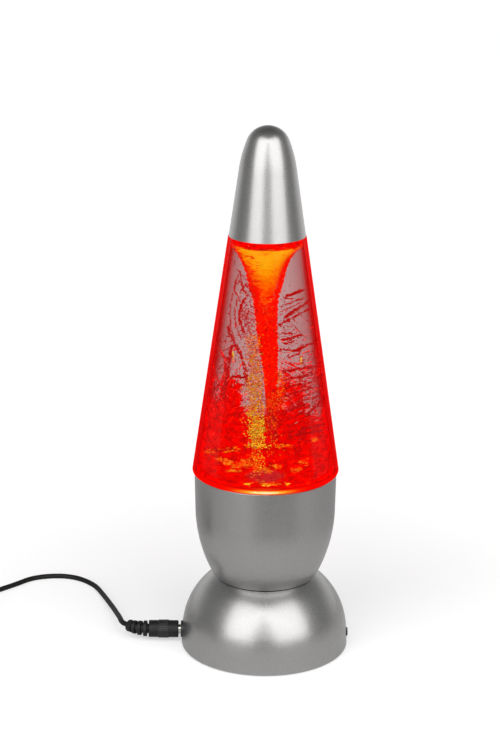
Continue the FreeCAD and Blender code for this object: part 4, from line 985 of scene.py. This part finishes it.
class Glitter:
    """Small flat flakes carried round by the liquid, gathered for one mesh."""

    def __init__(self):
        self.points, self.faces, self.picks = [], [], []

    def quad(self, middle, ahead, aside, pick):
        base = len(self.points)
        for u, v in ((-1, -0.7), (0.9, -1), (1, 0.8), (-0.8, 1)):
            self.points.append(tuple(middle + u * ahead + v * aside))
        self.faces.append((base, base + 1, base + 2, base + 3))
        self.picks.append(pick)

    def loose(self, x, y, z, size, pick):
        """Flake anywhere in the liquid, in millimetres."""
        a = math.atan2(y, x)
        ahead = Vector((-math.sin(a), math.cos(a), random.uniform(-0.5, 0.5))).normalized()
        aside = Vector((random.gauss(0, 0.5), random.gauss(0, 0.5), 1)).normalized()
        aside = (aside - aside.dot(ahead) * ahead).normalized()
        self.quad(Vector((x, y, z)), ahead * size * LOOSE_LENGTH / 2, aside * size / 2, pick)

    def fleck(self, px, py, length, height, angle, pick):
        """Flake at the wall at a point of the photo's frame, sized in its pixels."""
        middle = wall_point(px, py, FLAKE_SHARE)
        next_point = wall_point(
            px + 0.5 * math.cos(angle), py - 0.5 * math.sin(angle), FLAKE_SHARE
        )
        if middle is None or next_point is None or not FLAKES_LOW < middle.z < FLAKES_HIGH:
            return
        ahead = (next_point - middle) * length
        outward = Vector((middle.x, middle.y, 0)).normalized()
        aside = outward.cross(ahead).normalized() * height * PIXEL / 2
        self.quad(middle, ahead, aside, pick)
        if py > COPIED_BELOW:
            self.quad(HALF_TURN @ middle, HALF_TURN @ ahead, HALF_TURN @ aside, pick)

    def strand(self, spots, width, density, length, loose=0.28, turn=0.2):
        """Line of red flakes through points of the photo's frame."""
        for (x0, y0), (x1, y1) in zip(spots, spots[1:]):
            span = math.hypot(x1 - x0, y1 - y0)
            angle = math.atan2(y0 - y1, x1 - x0)
            for _ in range(max(2, int(span * density))):
                t = random.random()
                self.fleck(
                    x0 + (x1 - x0) * t + random.gauss(0, loose * width * 0.8),
                    y0 + (y1 - y0) * t + random.gauss(0, loose * width),
                    random.uniform(*length),
                    width * random.uniform(0.5, 1.0),
                    angle + random.gauss(0, turn),
                    RED,
                )

    def cloud(self, centre, spread, count, picks, length, height, angle=0.0, turn=0.3):
        """Flakes scattered round a point of the photo's frame."""
        for _ in range(count):
            self.fleck(
                random.gauss(centre[0], spread[0]),
                random.gauss(centre[1], spread[1]),
                random.uniform(*length),
                random.uniform(*height),
                angle + random.gauss(0, turn),
                random.choice(picks),
            )

    def clouds(self, table):
        for row in table:
            self.cloud(*row)


# Lines of dark specks in the photo's frame, with width and density: bowed ones left of the core,
# and streaks that climb to the right of it, by both ends
BOWED = [
    ([(240, 272), (236, 280), (233, 292), (231, 304), (230, 316), (231, 328), (234, 338)], 1.1, 1.1),
    ([(228, 326), (231, 336), (235, 345), (240, 353)], 2.4, 2.4),
    ([(246, 284), (241, 291), (237, 300), (235, 310), (235, 320), (237, 330), (241, 338)], 1.2, 1.2),
    ([(245, 298), (241, 306), (239, 315), (240, 324), (244, 331)], 1.8, 2.0),
    ([(236, 283), (234, 289), (237, 295)], 1.4, 1.8),
    ([(237, 284), (241, 279), (240, 271)], 1.0, 1.5),
    ([(241, 281), (243, 289), (248, 296)], 1.5, 1.8),
    ([(245, 284), (250, 290), (253, 295)], 1.2, 1.5),
    ([(236, 268), (242, 275), (248, 284)], 0.8, 1.2),
    ([(232, 346), (229, 362), (226, 380), (223, 396)], 3.0, 2.0),
    ([(240, 352), (243, 362), (246, 374), (247, 386)], 2.0, 1.6),
]
CLIMBING = [
    (286, 296.5, 304, 290, 2.0, 2.6), (284, 298, 303, 300, 1.1, 1.2),
    (280, 307, 303, 298, 1.0, 1.1), (280, 312, 300, 303, 0.9, 0.8),
    (284, 317.5, 309, 301, 1.9, 2.4), (279, 325, 309, 309, 1.5, 1.8),
    (284, 319, 298, 311, 0.9, 1.0), (289, 321, 306, 338, 0.6, 1.2),
    (296, 310, 308, 322, 0.6, 1.0), (281, 333, 294, 334, 1.2, 1.4),
    (282, 340.5, 302, 334.5, 1.8, 2.4), (284, 344, 294, 341, 1.4, 1.6),
    (280, 349, 300, 351, 1.4, 1.6), (295, 350, 317, 342, 1.7, 2.0),
    (283, 360, 300, 353, 1.3, 1.4), (282, 372, 318, 366, 1.7, 1.8),
    (285, 380, 318, 372, 1.3, 1.4), (284, 388, 316, 381, 1.2, 1.4),
    (300, 378, 320, 373, 1.1, 1.2), (284, 396, 312, 388, 1.5, 1.6),
    (290, 404, 320, 396, 1.3, 1.4), (305, 417, 320, 402, 2.3, 3.0),
    (285, 412, 306, 404, 1.9, 1.8), (288, 420, 304, 412, 1.5, 1.5),
    (300, 430, 324, 424, 1.7, 1.5), (290, 436, 322, 430, 1.7, 1.5),
]
# Both kinds are drawn wider and denser than the tables say, by these factors
BOWED_WIDER, BOWED_DENSER, CLIMBING_WIDER = 1.5, 1.6, 1.2

# Clouds of flakes: middle and spread in the photo's frame, how many, of which kinds, ranges of
# length and height in its pixels, angle and its scatter in radians
BETWEEN_BOWS = [
    ((243, 315), (2.8, 9), 110, (RED,), (0.9, 1.8), (0.8, 1.4), 1.2, 0.7),
    ((249, 320), (3.8, 16), 300, (RED,), (0.9, 2.0), (0.6, 1.1), 0.1, 0.4),
]
# The second is where the funnel's orange light gives way to red
BESIDE_FUNNEL = [
    ((287, 325), (5.0, 16), 150, (RED,), (0.9, 1.9), (0.6, 1.1), 0.4, 0.5),
    ((265, 300), (3.6, 5.5), 110, (EMBER,), (0.7, 1.6), (0.6, 1.0), 0.0, 0.4),
]
MOTTLED = [
    ((304, 392), (9, 18), 130, (PALE, RED, RED), (1.5, 4.5), (0.6, 1.2), 0.42, 0.2),
    ((303, 374), (9, 16), 190, (RED, RED, BRIGHT), (1.8, 5.0), (0.7, 1.5), 0.42, 0.2),
    ((226, 362), (9, 17), 170, (PALE, RED, RED), (1.2, 3.2), (0.7, 1.4), 1.3, 0.5),
    ((230, 396), (13, 22), 130, (RED, BRIGHT), (1.5, 5.0), (0.7, 1.4), 0.9, 0.5),
    ((300, 430), (16, 9), 100, (RED,), (1.5, 4.0), (0.6, 1.1), 0.15, 0.2),
    ((222, 450), (14, 1.5), 60, (RED, RED, ORANGE), (1.5, 5.0), (0.5, 1.0), 0.0, 0.12),
]
COLUMN_GLOW = [
    ((257, 432), (4.0, 9), 90, (AMBER,), (2.5, 6.0), (1.0, 2.2), 0.0, 0.4),
    ((254, 392), (3.6, 22), 150, (AMBER,), (2.0, 5.0), (0.9, 2.0), 0.0, 0.4),
    ((253, 374), (4.2, 20), 170, (DUSK,), (1.6, 4.0), (0.7, 1.5), 0.0, 0.5),
]
COLUMN_FOOT = [
    ((261, 431), (2.2, 5), 46, (YELLOW,), (0.8, 1.6), (0.6, 1.0)),
    ((258, 446), (4.5, 1.2), 60, (YELLOW, ORANGE), (1.2, 3.2), (0.5, 0.9), 0.0, 0.08),
    ((279, 446), (3, 1.0), 16, (ORANGE,), (1.2, 3.0), (0.5, 0.8), 0.0, 0.08),
]
# Specks right of the core, over its lower end and above the impeller
SPECKS = [
    ((282, 389), (2.6, 12), 44, (ORANGE,), (0.7, 1.3), (0.6, 1.0)),
    ((272, 428), (4.0, 15), 80, (ORANGE,), (0.6, 1.0), (0.5, 0.9)),
    ((258, 462), (4.2, 7), 80, (YELLOW, ORANGE), (0.7, 1.2), (0.6, 0.9)),
]
# Dusky veils: at the top, twice near the left wall, near the right wall and at the core's end
VEILS = [
    ((229, 254), (3.0, 5), 45, (DUSK,), (3.0, 8.0), (1.5, 3.5), 1.3, 0.3),
    ((213, 366), (4.5, 24), 190, (DUSK,), (3.0, 9.0), (1.0, 3.0), 1.4, 0.3),
    ((222, 352), (4.0, 14), 60, (DUSK,), (3.0, 8.0), (1.0, 2.5), 1.4, 0.4),
    ((318, 372), (4.0, 22), 110, (DUSK,), (3.0, 9.0), (0.8, 2.2), 0.6, 0.3),
    ((274, 426), (5.0, 14), 70, (DUSK,), (3.0, 8.0), (1.2, 3.0), 1.2, 0.5),
]
# Orange light caught low down: place and sizes in the photo's frame, and flakes
EMBERS = [
    (220, 459, 5, 1.6, 26), (228, 463, 5, 2.2, 40), (237, 466, 6, 2.4, 50), (247, 463, 7, 3.2, 60),
    (232, 471, 7, 1.3, 30), (256, 458, 6, 3.0, 50), (262, 470, 8, 2.6, 60), (276, 466, 4, 1.6, 30),
    (296, 470, 4.5, 1.4, 34), (303, 462, 5, 1.8, 16), (208, 452, 6, 1.2, 20),
    (315, 440, 3, 2.0, 14), (287, 446, 5, 1.2, 18), (267, 484, 9, 1.6, 60),
]
# Lamps seen through the foot of the vessel: place, width, flakes
LIT_SPOTS = [(247, 484, 2.6, 26), (287.5, 484, 2.6, 18), (267, 485.5, 9, 14)]
# Column of glitter beside the core in the photo's frame: its top and length, then its middle,
# its spread and its right limit at the top, each with its growth down to the foot
COLUMN_TOP, COLUMN_LENGTH = 334, 113
COLUMN_MIDDLE, COLUMN_SPREAD, COLUMN_LIMIT = (253.2, 5.2), (5.2, 0.6), (261.5, 3.5)
# Upright glints: middles in the photo's frame, flakes in one, and the gap between them
GLINTS, GLINT_FLAKES, GLINT_GAP = ((233, 356), (301.2, 361)), 14, 0.7


def drifting_flakes(glitter, count):
    """Loose flakes all over the lower part, mostly bright low down."""
    for _ in range(count):
        z = 103 + 100 * random.random() ** 1.8
        a = random.uniform(0, 2 * math.pi)
        r = (inner_radius(z) - 4.0) * math.sqrt(random.random())
        shares = (5, 3, 1) if z > 132 else (1, 9, 1)
        pick = random.choices((RED, BRIGHT, ORANGE), shares)[0]
        glitter.loose(r * math.cos(a), r * math.sin(a), z, random.uniform(0.3, 0.8), pick)


def column_flakes(glitter, count):
    """Column of bright glitter beside the core, yellower low down."""
    for _ in range(count):
        share = random.random() ** 0.9
        middle, spread, limit = (
            start + growth * share for start, growth in (COLUMN_MIDDLE, COLUMN_SPREAD, COLUMN_LIMIT)
        )
        px = random.gauss(middle, spread)
        if px > limit:
            continue
        if share > 0.7:
            shares = (3.5, 2.6, 3.6, 0.6)
        elif share > 0.35:
            shares = (5, 5, 0.8, 0.2)
        else:
            shares = (5, 3, 0, 0.5)
        pick = random.choices((RED, ORANGE, YELLOW, PALE), shares)[0]
        length, height = random.uniform(0.8, 1.9), random.uniform(0.6, 1.0)
        py = COLUMN_TOP + COLUMN_LENGTH * share
        glitter.fleck(px, py, length, height, random.gauss(0, 0.35), pick)


def glints(glitter):
    """Two upright glints, wide in the middle and orange at the foot."""
    for px, py in GLINTS:
        for k in range(GLINT_FLAKES):
            y = py - 4.5 + GLINT_GAP * k
            height = 2.4 if 2 < k < 8 else 1.3
            glitter.fleck(px, y, 1.4, height, 1.57, YELLOW if k < 9 else ORANGE)


def make_glitter():
    random.seed(20)
    glitter = Glitter()
    drifting_flakes(glitter, 1700)
    for spots, width, density in BOWED:
        width, density = BOWED_WIDER * width, BOWED_DENSER * density
        glitter.strand(spots, width, density, (0.8, 1.6), loose=0.32, turn=0.6)
    glitter.clouds(BETWEEN_BOWS)
    for x0, y0, x1, y1, width, density in CLIMBING:
        width, density = CLIMBING_WIDER * width, CLIMBING_WIDER * density
        glitter.strand([(x0, y0), (x1, y1)], width, density, (1.2, 2.8))
    glitter.clouds(BESIDE_FUNNEL + MOTTLED + COLUMN_GLOW)
    column_flakes(glitter, 1900)
    glitter.clouds(COLUMN_FOOT + SPECKS)
    for px, py, wide, high, count in EMBERS:
        spread = (wide * 0.6, high * 0.6)
        glitter.cloud((px, py), spread, count, (EMBER,), (1.5, 5.0), (0.6, 1.2), 0, 0.1)
    for px, py, wide, count in LIT_SPOTS:
        spread = (wide / 2, 0.5)
        glitter.cloud((px, py), spread, count, (YELLOW, ORANGE), (1.0, 2.4), (0.6, 0.9), 0, 0.1)
    glitter.clouds(VEILS)
    glints(glitter)
    mesh_piece("glitter", glitter.points, glitter.faces, FLAKES, glitter.picks, smooth=False)


make_glitter()


# Floor, lights and world

# How much white the floor adds, by the distance from the lamp as a share of WHITE_REACH metres
WHITE_REACH = 4.0
FLOOR_WHITE = (
    (0.0, 0.46), (0.03, 0.48), (0.0675, 0.56), (0.125, 0.61), (0.2, 0.685), (0.25, 0.72),
    (0.315, 0.76), (0.4, 0.795), (0.5, 0.825), (0.66, 0.85), (0.83, 0.87), (1.0, 0.88),
)
FLOOR_HALF = 30
# Lights: name, azimuth from the camera's side and elevation in degrees, then distance from the
# lamp's middle, width and height in metres, and power in watts
SOFTBOXES = [
    ("key_left", -36, 31, 1.6, 1.35, 1.8, 22.8),
    ("key_right", 39, 31, 1.6, 1.6, 1.8, 25.8),
    ("fill_front", 0, 34, 1.7, 0.75, 1.5, 3.4),
]
LAMP_MIDDLE = (0, 0, 0.15)


def rays(m):
    """1 for rays that see a thing straight or through clear pieces, and 1 for glossy rays."""
    path = new_node(m, "LightPath")
    names = ("Is Camera Ray", "Is Transmission Ray", "Is Glossy Ray")
    camera, through, glossy = (Output(m, path.outputs[name]) for name in names)
    return camera.most(through), glossy


def floor_material():
    """Pale sweep. The camera sees it white, and so does metal a little way off."""
    m = new_material("floor_pale")
    where = place(m)
    x, y, _ = where.parts()
    away = where.length()
    direct, glossy = rays(m)
    pale = where.noise(3.0, 3.0).ramp((0.3, grey(0.54)), (0.7, grey(0.56)))
    # Metal sees the white sweep behind the lamp, and the shaded floor towards the camera
    backward = y / away
    open_side = backward.step(-0.8, -0.4, 0.6, 0.15).most(backward.step(0.1, 0.7))
    white = (away.step(0.25, 1.1) * open_side).most(away.step(0.12, 0.22, 0.38, 0.0))
    forward = (x * 0.3 - y * 0.95) / away
    in_front = forward.step(0.72, 0.95, 0.0, 0.6) * away.band((0.12, 0.28), (0.5, 1.0))
    matt = add(m, "BsdfDiffuse", {"Color": pale})
    shaded = add(m, "BsdfDiffuse", {"Color": grey(0.0)})
    added = direct.most(glossy * white) * away.span(0.0, WHITE_REACH).curve(FLOOR_WHITE)
    light = add(m, "Emission", {"Color": grey(1.0), "Strength": added})
    return finish(m, add(m, "AddShader", {0: mix(glossy * in_front, matt, shaded), 1: light}))


def make_floor():
    data = bpy.data.meshes.new("floor")
    s = FLOOR_HALF
    data.from_pydata([(-s, -s, 0), (s, -s, 0), (s, s, 0), (-s, s, 0)], [], [(0, 1, 2, 3)])
    data.materials.append(floor_material())
    floor = into_scene("floor", data)


def make_world():
    """White for the camera. Metal sees white low down behind the lamp, else a darker room."""
    world = with_nodes(bpy.data.worlds.new("studio"))
    direct, glossy = rays(world)
    _, y, z = add(world, "TexCoord", output="Generated").parts()
    sweep = y.step(0.2, 0.8) * z.fall(0.15, 0.45)
    room = 0.25 - glossy * z.step(0.55, 0.9, 0.0, 0.19)
    level = direct.most(glossy * sweep).span(0.0, 1.0, room, 1.0)
    back = add(world, "Background", {"Color": grey(1.0), "Strength": level})
    new_node(world, "OutputWorld", {"Surface": back})
    scene.world = world


def softbox(name, azimuth, elevation, away, width, height, power):
    """Soft light that faces the lamp's middle."""
    a, e = math.radians(azimuth), math.radians(elevation)
    way = Vector((math.sin(a) * math.cos(e), -math.cos(a) * math.cos(e), math.sin(e)))
    data = bpy.data.lights.new(name, "AREA")
    data.shape = "RECTANGLE"
    data.size = width
    data.size_y = height
    data.energy = power
    box = into_scene(name, data)
    box.location = Vector(LAMP_MIDDLE) + way * away
    box.rotation_euler = way.to_track_quat("Z", "Y").to_euler()


make_floor()
make_world()
for lamp in SOFTBOXES:
    softbox(*lamp)

scene.view_settings.view_transform = "Standard"
scene.cycles.transparent_max_bounces = 64

bpy.context.view_layer.update()
